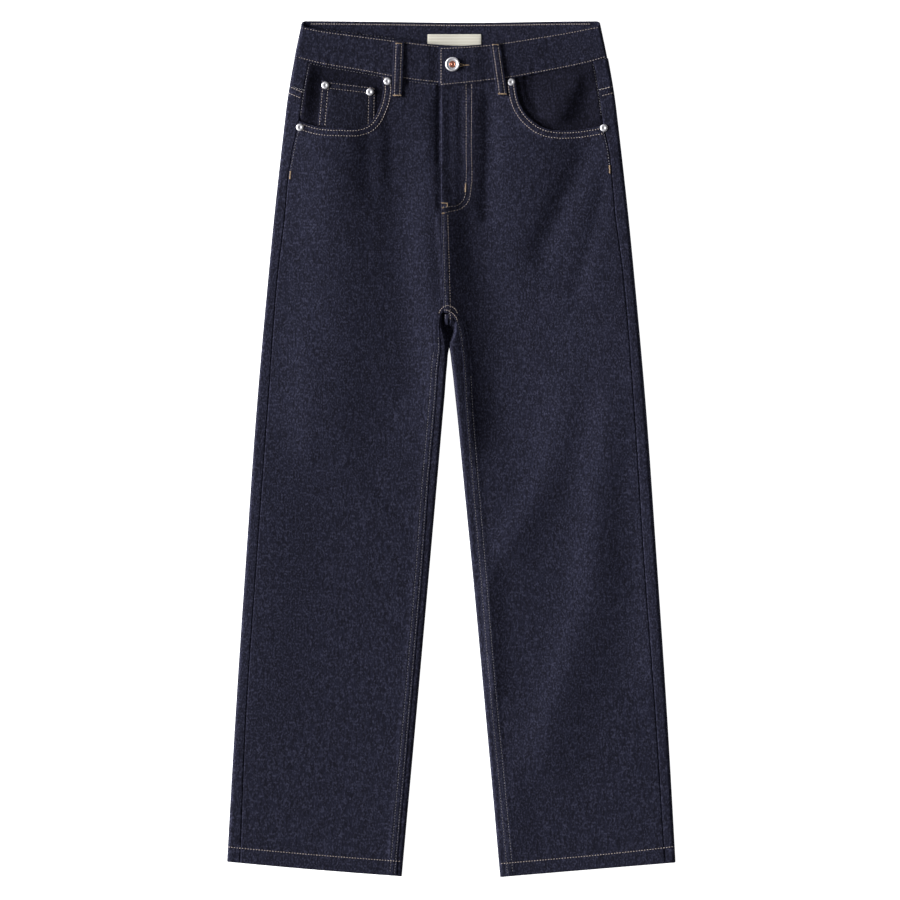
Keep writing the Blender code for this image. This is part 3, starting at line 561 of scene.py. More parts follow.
def wall(outer, inner, keep=None):
    """The points and faces of a closed wall: every kept cell twice, and a strip round the rim."""
    rows, cols = outer.shape[:2]
    count = rows * cols
    cell = np.arange(count).reshape(rows, cols)
    ring = np.stack([cell[:-1, :-1], cell[:-1, 1:], cell[1:, 1:], cell[1:, :-1]], axis=-1)
    ring = ring.reshape(-1, 4) if keep is None else ring[keep]
    starts, ends = ring.ravel(), np.roll(ring, -1, axis=1).ravel()
    single = ~np.isin(starts * count + ends, ends * count + starts)
    a, b = starts[single], ends[single]
    rim = np.stack([b, a, a + count, b + count], axis=-1)
    points = np.concatenate([outer.reshape(-1, 3), inner.reshape(-1, 3)])
    return points, [np.concatenate([ring, ring[:, ::-1] + count, rim])]


def lying(x, drop, top, bottom):
    """The outer and inner grid of a cloth that lies between two heights at each point."""
    return [np.stack(np.broadcast_arrays(x, drop, z), axis=-1) for z in (top, bottom)]


def unit(cols, rows):
    """Shares across and down a grid: a row of u and a column of v."""
    return np.linspace(0, 1, cols)[None, :], np.linspace(0, 1, rows)[:, None]


# %% [markdown]
# ## Denim
#
# The finish is a dark rinsed indigo denim. It is a twill of blue warp over pale weft: the dyed
# warp covers most of the face, the weft glints through as a fine grey speckle, and thicker
# stretches of yarn, called slubs, make short darker and lighter strokes up and down the leg. The
# surface is dry and scatters light widely, with hardly any gloss, so its specular level is low.
# The facings, which lie sunk under the fronts, are painted darker as the shade of that recess, and the coin
# pocket lies between.
#
# The real twill has about one rib in 0.9 mm. The speckle is drawn at 1.8 by 2.7 mm, the slubs at
# 2.4 by 11 mm and the cross threads at 9 by 1.8 mm, as coarse as they need to be to show.

# %% Node helpers


def linear(hex_colour):
    """An sRGB hex colour as linear red, green, blue and alpha."""
    parts = [int(hex_colour[i : i + 2], 16) / 255 for i in (0, 2, 4)]
    return [p / 12.92 if p <= 0.04045 else ((p + 0.055) / 1.055) ** 2.4 for p in parts] + [1.0]


def node(material, kind, links=(), **settings):
    """Add a node, set its inputs by name or number and its properties, and link its inputs."""
    made = material.node_tree.nodes.new(kind)
    for key, value in settings.items():
        if hasattr(made, key):
            setattr(made, key, value)
        else:
            made.inputs[key.replace("_", " ")].default_value = value
    for socket, source in links:
        material.node_tree.links.new(source, made.inputs[socket])
    return made


def finish(name, colour, roughness, metallic=0.0, specular=0.5):
    """A new material whose shader has the given colour, roughness, metal and specular level."""
    material = bpy.data.materials.new(name)
    material.use_nodes = True
    shader = material.node_tree.nodes["Principled BSDF"]
    shader.inputs["Base Color"].default_value = linear(colour)
    shader.inputs["Roughness"].default_value = roughness
    shader.inputs["Metallic"].default_value = metallic
    shader.inputs["Specular IOR Level"].default_value = specular
    return material, shader


def grain(material, width, length, detail):
    """Noise on the piece's own coordinates, whose cells are width by length millimetres."""
    where = node(material, "ShaderNodeTexCoord")
    size = (1000 / width, 1000 / length, 1000 / width)
    scaled = node(material, "ShaderNodeMapping", [("Vector", where.outputs["Object"])], Scale=size)
    made = node(material, "ShaderNodeTexNoise", [("Vector", scaled.outputs["Vector"])], Scale=1.0)
    made.inputs["Detail"].default_value = detail
    return made.outputs["Fac"]


def contrast(material, value, low, high, to_low=0.0, to_high=1.0):
    """Stretch a value between two levels, and hold it inside the new ones."""
    made = node(material, "ShaderNodeMapRange", [("Value", value)])
    for key, level in (("From Min", low), ("From Max", high), ("To Min", to_low), ("To Max", to_high)):
        made.inputs[key].default_value = level
    return made.outputs["Result"]


def mixed(material, share, first, second):
    """Mix two colours, each a hex or a socket, by a share, a number or a socket."""
    made = node(material, "ShaderNodeMix", data_type="RGBA")
    for socket, value in (("Factor", share), ("A", first), ("B", second)):
        target = [s for s in made.inputs if s.name == socket and s.enabled][0]
        if isinstance(value, bpy.types.NodeSocket):
            material.node_tree.links.new(value, target)
        else:
            target.default_value = linear(value) if isinstance(value, str) else value
    return [s for s in made.outputs if s.enabled][0]


def bumped(material, shader, height, distance, strength=1.0):
    """Tilt the shading by a height, whose full range is a distance in millimetres."""
    made = node(material, "ShaderNodeBump", [("Height", height)], Distance=distance * MM, Strength=strength)
    material.node_tree.links.new(made.outputs["Normal"], shader.inputs["Normal"])


def paint(material, shader, colour):
    """Lead a colour into the shader's base colour."""
    material.node_tree.links.new(colour, shader.inputs["Base Color"])


# %% The denims


def denim(name, dark, light, weft):
    """Rinsed indigo twill: slub strokes mix two blues, and the weft speckles over them."""
    material, shader = finish(name, dark, 0.9, specular=0.06)
    slubs = contrast(material, grain(material, 2.4, 11.0, 2.0), 0.36, 0.66)
    cross = contrast(material, grain(material, 9.0, 1.8, 2.0), 0.40, 0.68)
    speckle = contrast(material, grain(material, 1.8, 2.7, 1.0), 0.42, 0.70)
    cloudy = contrast(material, grain(material, 60.0, 90.0, 3.0), 0.3, 0.7)
    body = mixed(material, slubs, dark, light)
    body = mixed(material, cloudy, mixed(material, 0.25, body, dark), body)
    woven = node(material, "ShaderNodeMath", [(0, cross), (1, speckle)], operation="MULTIPLY_ADD")
    material.node_tree.links.new(speckle, woven.inputs[2])
    share = contrast(material, woven.outputs[0], 0.2, 1.9, 0.0, 0.85)
    paint(material, shader, mixed(material, share, body, weft))
    bumped(material, shader, woven.outputs[0], 0.16, 0.6)
    return material


DENIM = denim("rinsed_indigo_denim", "1B1B26", "262737", "434459")
# Painted shade: the facings and the coin pocket lie sunk under the fronts, so their denims are darker than
# the fronts'.
SHADED_FACING_DENIM = denim("indigo_denim_painted_shade", "13131C", "1A1A26", "2F2F41")
SHADED_COIN_DENIM = denim("indigo_denim_lighter_painted_shade", "181822", "232432", "3E3F52")


def cloth_piece(name, grids, material=DENIM, keep=None):
    """A wall of denim between two grids, which stands for the solid of the same name."""
    return add_piece(name + "_cloth", *wall(*grids, keep), material, "denim", (name,))


print("three denims made")

# %% [markdown]
# ## The fronts
#
# A front is one cut from the waistband and pocket opening to the hem. Its grid runs from the
# outer edge, which is the pocket opening and then the side seam, to the inner edge, which is the
# centre front and then the inseam. Rows straight across would cut through the pocket's curve, so
# the upper rows fan out from the opening to the centre front.
#
# The columns lie close together near both edges, where the stitching is, and apart between.

# %% Grid of a front
EDGE_STEPS = np.array([0, 0.3, 0.7, 1.2, 1.8, 2.5, 3.3, 4.1, 5.0, 6.0, 7.2, 8.6, 10.2, 12.0])
SEAM_STEPS = np.array(
    [0, 0.3, 0.7, 1.2, 1.8, 2.4, 3.0, 3.7, 4.4, 5.2, 6.0, 6.7, 7.4, 8.1, 8.8, 9.6, 10.6, 12.0]
)
MIDDLE = 54
OPENING_ROWS = 62
ROW_STEP = 2.5


def spread(width):
    """Shares of a row's width: fixed small steps inside each edge and even ones between them."""
    width = width[:, None]
    inner = np.minimum(EDGE_STEPS, 0.3 * width)
    outer = np.minimum(SEAM_STEPS, 0.3 * width)
    first, last = inner[:, -1:], width - outer[:, -1:]
    middle = first + (last - first) * np.linspace(0, 1, MIDDLE)[1:-1]
    return np.concatenate([inner, middle, (width - outer)[:, ::-1]], axis=1) / width


def front_grid(side):
    """x and drop over a front: ruled rows from the opening and side seam to the inner edge."""
    opening = along(POCKETS[side], OPENING_ROWS)
    top = band_edge(side, side * front_inner(side, 74.0), 2) + SEAM_GAP
    opening[0, 1] = band_edge(side, opening[0, 0], 2) + SEAM_GAP
    outer, inner = fill(FRONT_ROWS + LEG_ROWS + HEM_ROWS, ROW_STEP).T
    ends = (side_seam(side, outer) - SEAM_GAP / 2, front_inner(side, inner))
    outer_drop, inner_drop = (
        np.where(drop < CROTCH_DROP, drop, row_drop(side, outer, inner, end))
        for drop, end in zip((outer, inner), ends)
    )
    seam_x = side * (side_seam(side, outer_drop) - SEAM_GAP / 2)
    outer_x = np.concatenate([opening[:, 0], seam_x])
    outer_drop = np.concatenate([opening[:, 1], outer_drop])
    inner_drop = np.concatenate([np.linspace(top, FRONT_ROWS[0][1] - 2, OPENING_ROWS), inner_drop])
    inner_x = side * front_inner(side, inner_drop)
    u = spread(np.hypot(outer_x - inner_x, outer_drop - inner_drop))
    x = outer_x[:, None] * (1 - u) + inner_x[:, None] * u
    drop = outer_drop[:, None] * (1 - u) + inner_drop[:, None] * u
    bow = band_edge(side, x[0], 2) + SEAM_GAP - drop[0]
    drop = drop + bow * (1 - ramp(0, 34, np.arange(len(drop), dtype=float)))[:, None]
    return x, hung(side, side * x, drop)


def front(side):
    """One front: a face with the relief of its seams, over a plain inner side."""
    x, drop = front_grid(side)
    plain = face(x, drop) + fly_step(side, x, drop)
    raised = plain + front_relief(side, x, drop)
    grids = lying(x, drop, raised, plain - thickness(side, side * x, drop))
    return cloth_piece(f"front_{SIDE_NAME[side]}", grids)


fronts = {side: front(side) for side in (RIGHT, LEFT)}
print({name: PIECES[name] for name in PIECES})

# %% [markdown]
# ## The backs and yokes
#
# Each back starts at the side seam on top, rolls round the silhouette and runs flat underneath.
# Below the crotch it rolls up round the inner leg too. So its grid runs along that path, and the
# strips beside the front's seams are part of the same cut, as on the real leg.

# %% Grid of a back
STRIP = np.array([0, 0.03, 0.07, 0.12, 0.19, 0.28, 0.38, 0.5, 0.62, 0.75, 0.88, 1])
ROUND = np.linspace(0, 1, 11)[1:]
FLAT = np.linspace(0, 1, 15)[1:]
ZONES = (len(STRIP), len(ROUND), len(FLAT), len(ROUND), len(STRIP) - 1)
INNER_TURN = np.array([(350, 0.1), (358, 1.2), (372, 1.8), (404, 3.2), (1024, 3.2)])
HOLLOW_LOW = 1.9
HOLLOW = table(  # drop, and how far across its side starts and ends, right and left
    (350, 7.6, 11.0, 3.0, 8.0), (362, 7.4, 11.0, 4.0, 9.0), (368, 5.5, 10.6, 4.5, 9.4),
    (373, 1.6, 10.0, 3.6, 8.0), (378, 0.6, 9.2, 1.6, 6.0), (384, 0.0, 8.0, 0.0, 3.6),
    (393, 0.0, 6.2, 0.0, 1.2), (405, 0.0, 4.4, 0.0, 0.4), (416, 0.0, 3.0, 0.0, 0.3),
    (430, 0.0, 0.2, 0.0, 0.2),
)
TONGUE_X, TONGUE_REACH = -1.0, 8.2


def hollow(side, across, drop):
    """The face near the inner edge. Below the crotch it falls into a hollow, whose side curves
    down like a bowl's, and the end of the seat seam runs out into its top as a flat tongue."""
    knots, ends = HOLLOW[:, 0], HOLLOW[:, 1:3] if side == RIGHT else HOLLOW[:, 3:]
    start, end = (np.interp(drop, knots, column) for column in ends.T)
    share = np.clip((across - inner_edge(side, drop) - start) / (end - start), 0, 1)
    beside = np.clip(np.abs(side * across - TONGUE_X) / TONGUE_REACH, 0, 1)
    tongue = (1 - beside**6) * (1 - ramp(359, 369, drop))
    high = np.maximum(1 - (1 - share) ** (3 if side == RIGHT else 2), tongue)
    return HOLLOW_LOW + (face(side * across, drop) - HOLLOW_LOW) * high


# How far each leg reaches past the outline in the tables, at its outer and its inner edge.
REACH_PAST = {RIGHT: (-0.2, 1.0), LEFT: (0.9, 0.4)}


def eased_out(side, across, drop):
    """Move points near the silhouette out by the reach past it, and leave the seams in place."""
    outer, inner = REACH_PAST[side]
    seam = side_seam(side, drop)
    at_outer = ramp(0.05, 1, (across - seam) / (half_width(drop) - seam))
    at_inner = (1 - ramp(0, 5, across - inner_edge(side, drop))) * ramp(395, 412, drop)
    return across + outer * at_outer - inner * at_inner


def wrap_path(side, drop, below_crotch):
    """Across and height along a back's path: strip, half turn, flat, half turn, strip."""
    strip, roll, flat, inner_roll, inner_strip = np.split(drop, np.cumsum(ZONES)[:-1], axis=1)
    start = side_seam(side, strip) + SEAM_GAP / 2
    across = [start + (half_width(strip) - FOLD_ROUND - start) * STRIP]
    heights = [face(side * across[0], strip)]
    angle = np.pi * (0.5 - ROUND)
    across.append(half_width(roll) - FOLD_ROUND * (1 - np.cos(angle)))
    low, high = under(roll), face(side * (half_width(roll) - FOLD_ROUND), roll)
    heights.append(low + (high - low) / 2 * (1 + np.sin(angle)))
    tight = np.interp(inner_roll[:, :1], INNER_TURN[:, 0], INNER_TURN[:, 1])
    flat_end = inner_edge(side, flat) + SEAM_GAP / 2 + (tight if below_crotch else 0)
    flat_start = half_width(flat) - FOLD_ROUND
    across.append(flat_start + (flat_end - flat_start) * FLAT)
    heights.append(under(flat))
    if not below_crotch:
        return np.concatenate(across, axis=1), np.concatenate(heights, axis=1)
    apart = SEAM_GAP / 2 * ramp(390.5, 395, inner_roll[:, :1])
    base = inner_edge(side, inner_roll) + apart
    across.append(base + tight * (1 - np.cos(angle)))
    top = hollow(side, base + tight, inner_roll)
    heights.append(top / 2 * (1 - np.sin(angle)))
    start = inner_edge(side, inner_strip) + apart + tight
    end = inseam(side, inner_strip) - SEAM_GAP / 2
    inwards_strip = 1 - STRIP[::-1][1:]
    across.append(start + (end - start) * inwards_strip)
    heights.append(hollow(side, across[4], inner_strip))
    return np.concatenate(across, axis=1), np.concatenate(heights, axis=1)


def inwards(x, z, thickness, turn):
    """Points one wall inside a path of x and z, square to the path. turn is the path's sense."""
    run, rise = np.gradient(x, axis=1), np.gradient(z, axis=1)
    length = np.hypot(run, rise)
    return x + turn * thickness * rise / length, z - turn * thickness * run / length


def raise_strip(side, outer):
    """Add relief to the strip beside the side seam: its rolled edge, and the seam under the yoke."""
    first = slice(0, len(STRIP))
    across, drop = side * outer[:, first, 0], outer[:, first, 1]
    below = drop - row_drop(side, YOKE_OUTER, YOKE_CENTRE, across)
    seam = sewn(below, across, YOKE_LINES, 10, 0.4, 0.7 + side, 0.12) + rolled(below)
    relief = rolled(across - side_seam(side, drop) - SEAM_GAP / 2)
    relief = relief + np.where((below > -1) & (below < 30), seam, 0)
    outer[:, first, 2] += relief * (1 - ramp(0.8, 1.0, np.linspace(0, 1, len(STRIP))))
    return outer


def wrapped(side, rows, below_crotch):
    """Outer and inner points of a back piece whose rows have the given drops."""
    cols = sum(ZONES)
    outer_drop, inner_drop = (np.repeat(rows[:, k : k + 1], cols, axis=1) for k in (0, 1))
    across, _ = wrap_path(side, outer_drop, below_crotch)
    used = across.shape[1]
    drop = row_drop(side, outer_drop[:, :used], inner_drop[:, :used], across)
    if not below_crotch:
        drop = np.pad(drop, ((0, 0), (0, cols - used)), mode="edge")
    across, height = wrap_path(side, drop, below_crotch)
    drop = hung(side, across, drop[:, :used])
    inner_across, inner_height = inwards(across, height, thickness(side, across, drop), 1)
    if below_crotch:
        inner_across = np.minimum(inner_across, np.maximum(across[:, -1:], across))
    faces = ((across, height), (inner_across, inner_height))
    return [np.stack([side * eased_out(side, at, drop), drop, z], axis=-1) for at, z in faces]


def back_panel(side):
    """The back of one leg, wrapped round both edges of the leg to the side seam and inseam."""
    seat, leg = fill(SEAT_ROWS, 3.0), fill(LEG_ROWS + HEM_ROWS, 3.0)
    upper, lower = wrapped(side, seat, False), wrapped(side, leg, True)
    used, cols = upper[0].shape[1], lower[0].shape[1]
    spare = ((0, 0), (0, cols - used), (0, 0))
    outer, inner = (np.concatenate([np.pad(a, spare, mode="edge"), b]) for a, b in zip(upper, lower))
    keep = np.ones((len(outer) - 1, cols - 1), bool)
    keep[: len(seat), used - 1 :] = False
    return cloth_piece(f"back_{SIDE_NAME[side]}", (raise_strip(side, outer), inner), keep=keep)


def yoke(side):
    """The yoke between the waistband and the back panel, wrapped round to the side seam."""
    top = BACK_BAND_BOTTOM + SEAM_GAP / 3
    steps = np.linspace(0, 1, 16)[:, None]
    rows = top * (1 - steps) + table((YOKE_OUTER, YOKE_CENTRE)) * steps
    outer, inner = wrapped(side, rows, False)
    on_top = (outer[..., 2] - SEAT_LIFT) / HIP_LOFT
    lower = band_edge(side, outer[0, :, 0], 2) + SEAM_GAP / 3 - outer[0, :, 1]
    for points in (outer, inner):
        points[..., 1] += np.maximum(lower, 0) * on_top * (1 - steps)
    return cloth_piece(f"yoke_{SIDE_NAME[side]}", (raise_strip(side, outer), inner))


backs = {side: back_panel(side) for side in (RIGHT, LEFT)}
yokes = {side: yoke(side) for side in (RIGHT, LEFT)}
print({name: PIECES[name] for name in PIECES if name.startswith(("back", "yoke"))})

# %% [markdown]
# ## Pocket facings and the coin pocket
#
# Behind each curved opening lies a facing of the same denim, sunk under the front by what lies
# between them, and painted darker for the shade there. The wearer's right one carries the coin
# pocket, whose foot runs under the front.

# %% Facings
# x at the top and foot of the facing, reach right and left, height
FACING_FOLDS = {
    RIGHT: ((-176, -172, 14, 9, 0.8), (-84, -84, 14, 12, -0.5)),
    LEFT: ((155, 119, 26, 14, 3.7), (88, 98, 9, 16, -2.3)),
}


def facing_height(side, x, drop):
    """The facing's face. It is sunk under the front's far enough for what lies between them, and
    it rises to the side seam and to the waistband, which it is sewn to."""
    seam = side_seam(side, drop) - side * x
    band = drop - band_edge(side, x, 2)
    deep = ramp(0, 20, seam) * (0.5 + 0.5 * ramp(0, 14, band))
    sunk = face(x, drop) - FACING_SINK[side] * np.maximum(deep, ramp(112, 124, drop))
    return np.maximum(sunk, under(drop) + FACING_FLOOR)


def facing_folds(side, x, drop):
    """Soft folds that lean across a facing: each a bell about a line from its top to its foot."""
    share = (drop - FACING_TOP) / 80
    total = 0 * x
    for top_x, foot_x, right, left, height in FACING_FOLDS[side]:
        beside = x - top_x - (foot_x - top_x) * share
        total = total + height * np.exp(-((beside / np.where(beside < 0, right, left)) ** 2))
    return total * ramp(50, 66, drop) * (1 - ramp(120, 132, drop))


def pocket_facing(side):
    """The denim behind a front pocket opening, from the side seam to under the front."""
    u, v = unit(60, 44)
    inner = FACING_INNER[side]
    across = side_seam(side, FACING_TOP) * (1 - u) + inner * u + 0 * v
    for _ in range(2):
        top = band_edge(side, side * across, 2) + SEAM_GAP
        drop = top + (FACING_BOTTOM - top) * v
        edge = side_seam(side, drop) - SEAM_GAP / 2
        across = edge * (1 - u) + inner * u
    x = side * across
    z = facing_height(side, x, drop)
    shown = ramp(6, 16, to_line(x, drop, POCKETS[side]))
    raised = z + facing_folds(side, x, drop) * shown + rolled(edge - across)
    grids = lying(x, drop, raised, z - CLOTH)
    # The facing's denim is painted darker, as shade in the recess under the front.
    return cloth_piece(f"pocket_facing_{SIDE_NAME[side]}", grids, SHADED_FACING_DENIM)


def coin_height(x, drop):
    """The coin pocket's face: a gap and its own wall above the facing's."""
    return facing_height(RIGHT, x, drop) + SEAM_GAP + COIN_WALL


def coin_point(u, v):
    """x and drop on the coin pocket, u from its outer to its inner edge and v from top to foot."""
    top, bottom = ([a + (b - a) * u for a, b in zip(*ends)] for ends in (COIN_TOP, COIN_BOTTOM))
    return [a * (1 - v) + b * v for a, b in zip(top, bottom)]


def coin_pocket():
    """The small pocket on the right facing, grooved by its stitches and rolled at its edges."""
    u, v = unit(62, 58)
    x, drop = coin_point(u, v)
    relief = rolled(v * COIN_DEPTH) + sewn(v * COIN_DEPTH, x, COIN_LINES, 10, 0.35, 0.5, 0.15)
    for edge in (u * COIN_WIDTH, (1 - u) * COIN_WIDTH):
        relief = relief + rolled(edge) + grooves(edge, COIN_LINES)
    z = coin_height(x, drop)
    grids = lying(x, drop, z + relief + facing_folds(RIGHT, x, drop), z - COIN_WALL)
    # The coin pocket's denim is painted darker, as shade in the recess, though less than the facing's.
    return cloth_piece("coin_pocket", grids, SHADED_COIN_DENIM)


facings = {side: pocket_facing(side) for side in (RIGHT, LEFT)}
coin = coin_pocket()
print({name: PIECES[name] for name in PIECES if "pocket" in name})

# %% [markdown]
# ## The waistband
#
# One long strip folded over the top of every panel. It starts under the button, goes round the
# right side, along the back and round the left side, and ends over its own beginning with the
# buttonhole. The grid follows that walk, so the overlap is really two layers.

# %% Waistband
BAND_ROWS = np.array(
    [0, 0.012, 0.03, 0.05, 0.08, 0.12, 0.18, 0.26, 0.36, 0.5]
    + [0.64, 0.74, 0.82, 0.88, 0.92, 0.95, 0.97, 0.988, 1]
)
BAND_FRONT, BAND_BACK = 140, 110
BAND_REACH = float(half_width(20.0)) - FOLD_ROUND


def band_height(half, x):
    """The face of the front waistband: one end dips where the other lies over it, and its left
    half falls towards the side."""
    level = SEAT_LIFT + BAND_LOFT
    if half == RIGHT:
        return level - BAND_DIP * ramp(FLY_EDGE - 18, FLY_EDGE - 4, x)
    return level + BAND_RAISE * (1 - ramp(28, 44, x)) - BAND_FALL * ramp(50, 150, x)


def back_band_top(x):
    """The drop of the top edge of the waistband's back stretch."""
    return read(BACK_BAND_TOP, 1, x)


def band_relief(half, x, drop):
    """Both edges of the waistband: rolled over, stitched, and rippled most along the bottom."""
    above, below = drop - band_edge(half, x, 1), band_edge(half, x, 2) - drop
    start = 1.1 + half
    total = rolled(above) + rolled(below) + groove(above - BAND_LINE) + groove(below - BAND_LINE)
    total += 0.42 * ripples(x, start) * np.exp(-((below / 10) ** 2))
    total += 0.22 * ripples(x, start + 2) * np.exp(-((above / 8) ** 2))
    if half == RIGHT:
        return total * (1 - ramp(FLY_EDGE - 5, FLY_EDGE - 3, x))
    end = x - BAND_END_X[LEFT]
    return total + rolled(end) + groove(end - BAND_LINE)


def band_stretch(start, end, count, half=None):
    """Columns between two places, each from the band's top edge to its bottom edge, on one half of
    the front or, for no half, on the back."""
    share = np.linspace(start, end, count)[None, :] / BAND_REACH
    v = BAND_ROWS[:, None]
    x = share * BAND_REACH + 0 * v
    for _ in range(2):
        top, bottom = back_band_top(x), BACK_BAND_BOTTOM
        if half:
            top, bottom = band_edge(half, x, 1), band_edge(half, x, 2)
        drop = top + (bottom - top) * v
        x = share * (half_width(drop) - FOLD_ROUND)
    return x, drop, (band_height(half, x) if half else SEAT_LIFT) + 0 * drop


def band_turn(side, angle):
    """Columns round the silhouette, a half turn between the back's height and the front's."""
    share = (1 + np.sin(angle)) / 2
    edge = side * BAND_REACH
    top = back_band_top(edge) * (1 - share) + band_edge(side, edge, 1) * share
    low_front = band_edge(side, side * half_width(43.0), 2)
    bottom = BACK_BAND_BOTTOM * (1 - share) + low_front * share
    drop = top + (bottom - top) * BAND_ROWS[:, None]
    x = side * (half_width(drop) - FOLD_ROUND * (1 - np.cos(angle)))
    loft = BAND_LOFT - (BAND_FALL if side == LEFT else 0)
    return x, drop, SEAT_LIFT + loft * share + 0 * drop


def waistband():
    """The whole walk of the strip, with relief on its two front stretches."""
    angle = np.pi * (0.5 - ROUND[None, :-1])
    parts = [
        band_stretch(BAND_END_X[RIGHT], -BAND_REACH, BAND_FRONT, RIGHT),
        band_turn(RIGHT, angle),
        band_stretch(-BAND_REACH, BAND_REACH, BAND_BACK),
        band_turn(LEFT, -angle),
        band_stretch(BAND_REACH, BAND_END_X[LEFT], BAND_FRONT, LEFT),
    ]
    x, drop, z = (np.concatenate(grids, axis=1) for grids in zip(*parts))
    inner_x, inner_z = inwards(x, z, BAND, -1)
    for half, part in ((RIGHT, slice(None, BAND_FRONT)), (LEFT, slice(-BAND_FRONT, None))):
        z[:, part] += band_relief(half, x[:, part], drop[:, part])
    outer, inner = np.stack([x, drop, z], axis=-1), np.stack([inner_x, drop, inner_z], axis=-1)
    return cloth_piece("waistband", (outer, inner))


band = waistband()
print("waistband", PIECES["waistband_cloth"], "triangles")

# %% [markdown]
# ## Loops and back pockets
#
# A belt loop is a folded strip of denim with two rows of stitches, tacked down at both ends. On
# the front each arches over the waistband. Those on the back, and the two back pockets, lie
# pressed flat under the garment.

# %% Loops


def top_height(x, drop):
    """The highest cloth at each point: waistband above its bottom edge, and the front below it."""
    right = x < FLY_EDGE
    band_z = np.where(right, band_height(RIGHT, x), band_height(LEFT, x))
    cloth_z = face(x, drop) + np.where(right, fly_step(RIGHT, x, drop), fly_step(LEFT, x, drop))
    return np.where(drop < band_bottom(x), band_z, cloth_z)


def loop_point(side, t, offset):
    """x and drop on a front loop: a share t down it, an offset in mm to the side of its middle."""
    (x0, d0), (x1, d1) = FRONT_LOOPS[side]
    return x0 + (x1 - x0) * t + offset, d0 + (d1 - d0) * t + 0 * offset


def loop_height(side, t):
    """The loop's face: it rests on what lies beneath each end and bulges a little between."""
    knots = np.array([0, 0.06, 0.2, 0.4, 0.55, 0.66, 0.74, 0.82, 0.9, 1.0])
    rest = np.zeros(len(knots))
    for offset in (-LOOP_WIDTH / 2, 0.0, LOOP_WIDTH / 2):
        x, drop = loop_point(side, knots, offset)
        rest = np.maximum(rest, np.maximum(top_height(x, drop), top_height(x, drop - 6)))
    bulge = LOOP_BULGE[side] * np.sin(np.pi * np.clip(knots / 0.8, 0, 1)) ** 0.7
    return np.interp(t, knots, rest + bulge + SEAM_GAP + TRIM)


def loop_relief(side, t, offset):
    """Rolled edges, two stitched grooves, and a low swell where the fold's layers lie."""
    inside = LOOP_WIDTH / 2 - np.abs(offset)
    swell = 0.35 * ramp(2.0, 4.5, inside) + 0.10 * ripples(66 * t, 1.0 + side)
    return rolled(inside) + groove(inside - LOOP_LINE) + swell + rolled(66 * t) + rolled(66 * (1 - t))


def front_loop(side):
    """A belt loop that arches over the front of the waistband."""
    u, t = unit(21, 56)
    offset = (u - 0.5) * LOOP_WIDTH
    x, drop = loop_point(side, t, offset)
    z = loop_height(side, t)
    grids = lying(x, drop, z + loop_relief(side, t, offset), z - TRIM)
    return cloth_piece(f"belt_loop_front_{SIDE_NAME[side]}", grids)


def back_loop(place_name, x):
    """A belt loop on the back of the waistband: its face is down, grooved towards the cloth."""
    u, t = unit(17, 30)
    top, bottom = BACK_LOOP_ENDS
    offset = (u - 0.5) * LOOP_WIDTH
    inside = LOOP_WIDTH / 2 - np.abs(offset)
    low = -rolled(inside) - groove(inside - LOOP_LINE)
    grids = lying(x + offset, top + (bottom - top) * t, low, TRIM)
    return cloth_piece(f"belt_loop_back_{place_name}", grids)


def back_pocket(side):
    """A five-sided patch, face down: columns run from its straight top to its pointed foot."""
    u, v = unit(61, 61)
    u = 2 * u - 1
    (top, top_drop), (foot, foot_drop), (_, point_drop) = BACK_POCKET
    length = foot_drop + (point_drop - foot_drop) * (1 - np.abs(u)) - top_drop
    drop = top_drop + length * v
    reach = top + (foot - top) * np.clip((drop - top_drop) / (foot_drop - top_drop), 0, 1)
    inside = np.minimum(np.minimum(drop - top_drop, top_drop + length - drop), reach * (1 - np.abs(u)))
    low = -rolled(inside) - grooves(inside, BACK_POCKET_LINES)
    grids = lying(side * BACK_POCKET_X + u * reach, drop, low, TRIM)
    return cloth_piece(f"back_pocket_{SIDE_NAME[side]}", grids)


loops = [front_loop(side) for side in (RIGHT, LEFT)]
loops += [back_loop(place_name, x) for place_name, x in BACK_LOOPS.items()]
patches = [back_pocket(side) for side in (RIGHT, LEFT)]
print(len(loops), "loops and", len(patches), "back pockets")

# %% [markdown]
# ## The bare label
#
# A cream woven tape is sewn inside the back of the waistband. It is a close ribbed weave of
# smooth polyester, so it has fine ribs across and a soft sheen. It is left bare. Its real ribs
# are 0.9 mm apart, and they are drawn as coarse as they need to be to show.

# %% Label
RIB = 3.553


def woven_label():
    """Cream ribbed tape: a sine wave of two creams. A wave texture has 10 / pi waves to a unit."""
    material, shader = finish("cream_ribbed_tape", "E6E1D2", 0.62, specular=0.3)
    where = node(material, "ShaderNodeTexCoord").outputs["Object"]
    ribs = node(material, "ShaderNodeTexWave", [("Vector", where)], Scale=math.pi / (10 * RIB * MM))
    ribs.bands_direction = "Y"
    valley = contrast(material, ribs.outputs["Fac"], 0, 1, 0, 0.35)
    paint(material, shader, mixed(material, valley, "ECE8DB", "CFC8B4"))
    bumped(material, shader, ribs.outputs["Fac"], 0.2)
    return material


def label():
    """A thin plate on the inner face of the back waistband, with a slight wave along it."""
    (x0, x1), (d0, d1) = LABEL_X, LABEL_DROP
    u, v = unit(40, 16)
    low = SEAT_LIFT + BAND + SEAM_GAP
    inside = np.minimum(np.minimum(u, 1 - u) * (x1 - x0), v * (d1 - d0))
    top = low + LABEL_WALL + 0.35 * rolled(inside) + 0.12 * np.sin(9 * u)
    plate = wall(*lying(x0 + (x1 - x0) * u, d0 + (d1 - d0) * v, top, low))
    return add_piece("waist_label_tape", *plate, woven_label(), "woven_label", ("waist_label",))


tape = label()
print("label", LABEL_X[1] - LABEL_X[0], "by", LABEL_DROP[1] - LABEL_DROP[0], "mm")

# %% [markdown]
# ## Button and rivets
#
# The shank button is a stamped ring of nickel plated brass round a copper tack head, and each
# rivet is a domed nickel burr with a dimple. Both are turned shapes: a profile carried round an
# axis. The plating is satin, so the metal is rough enough to blur what it mirrors.

# %% Turned metal


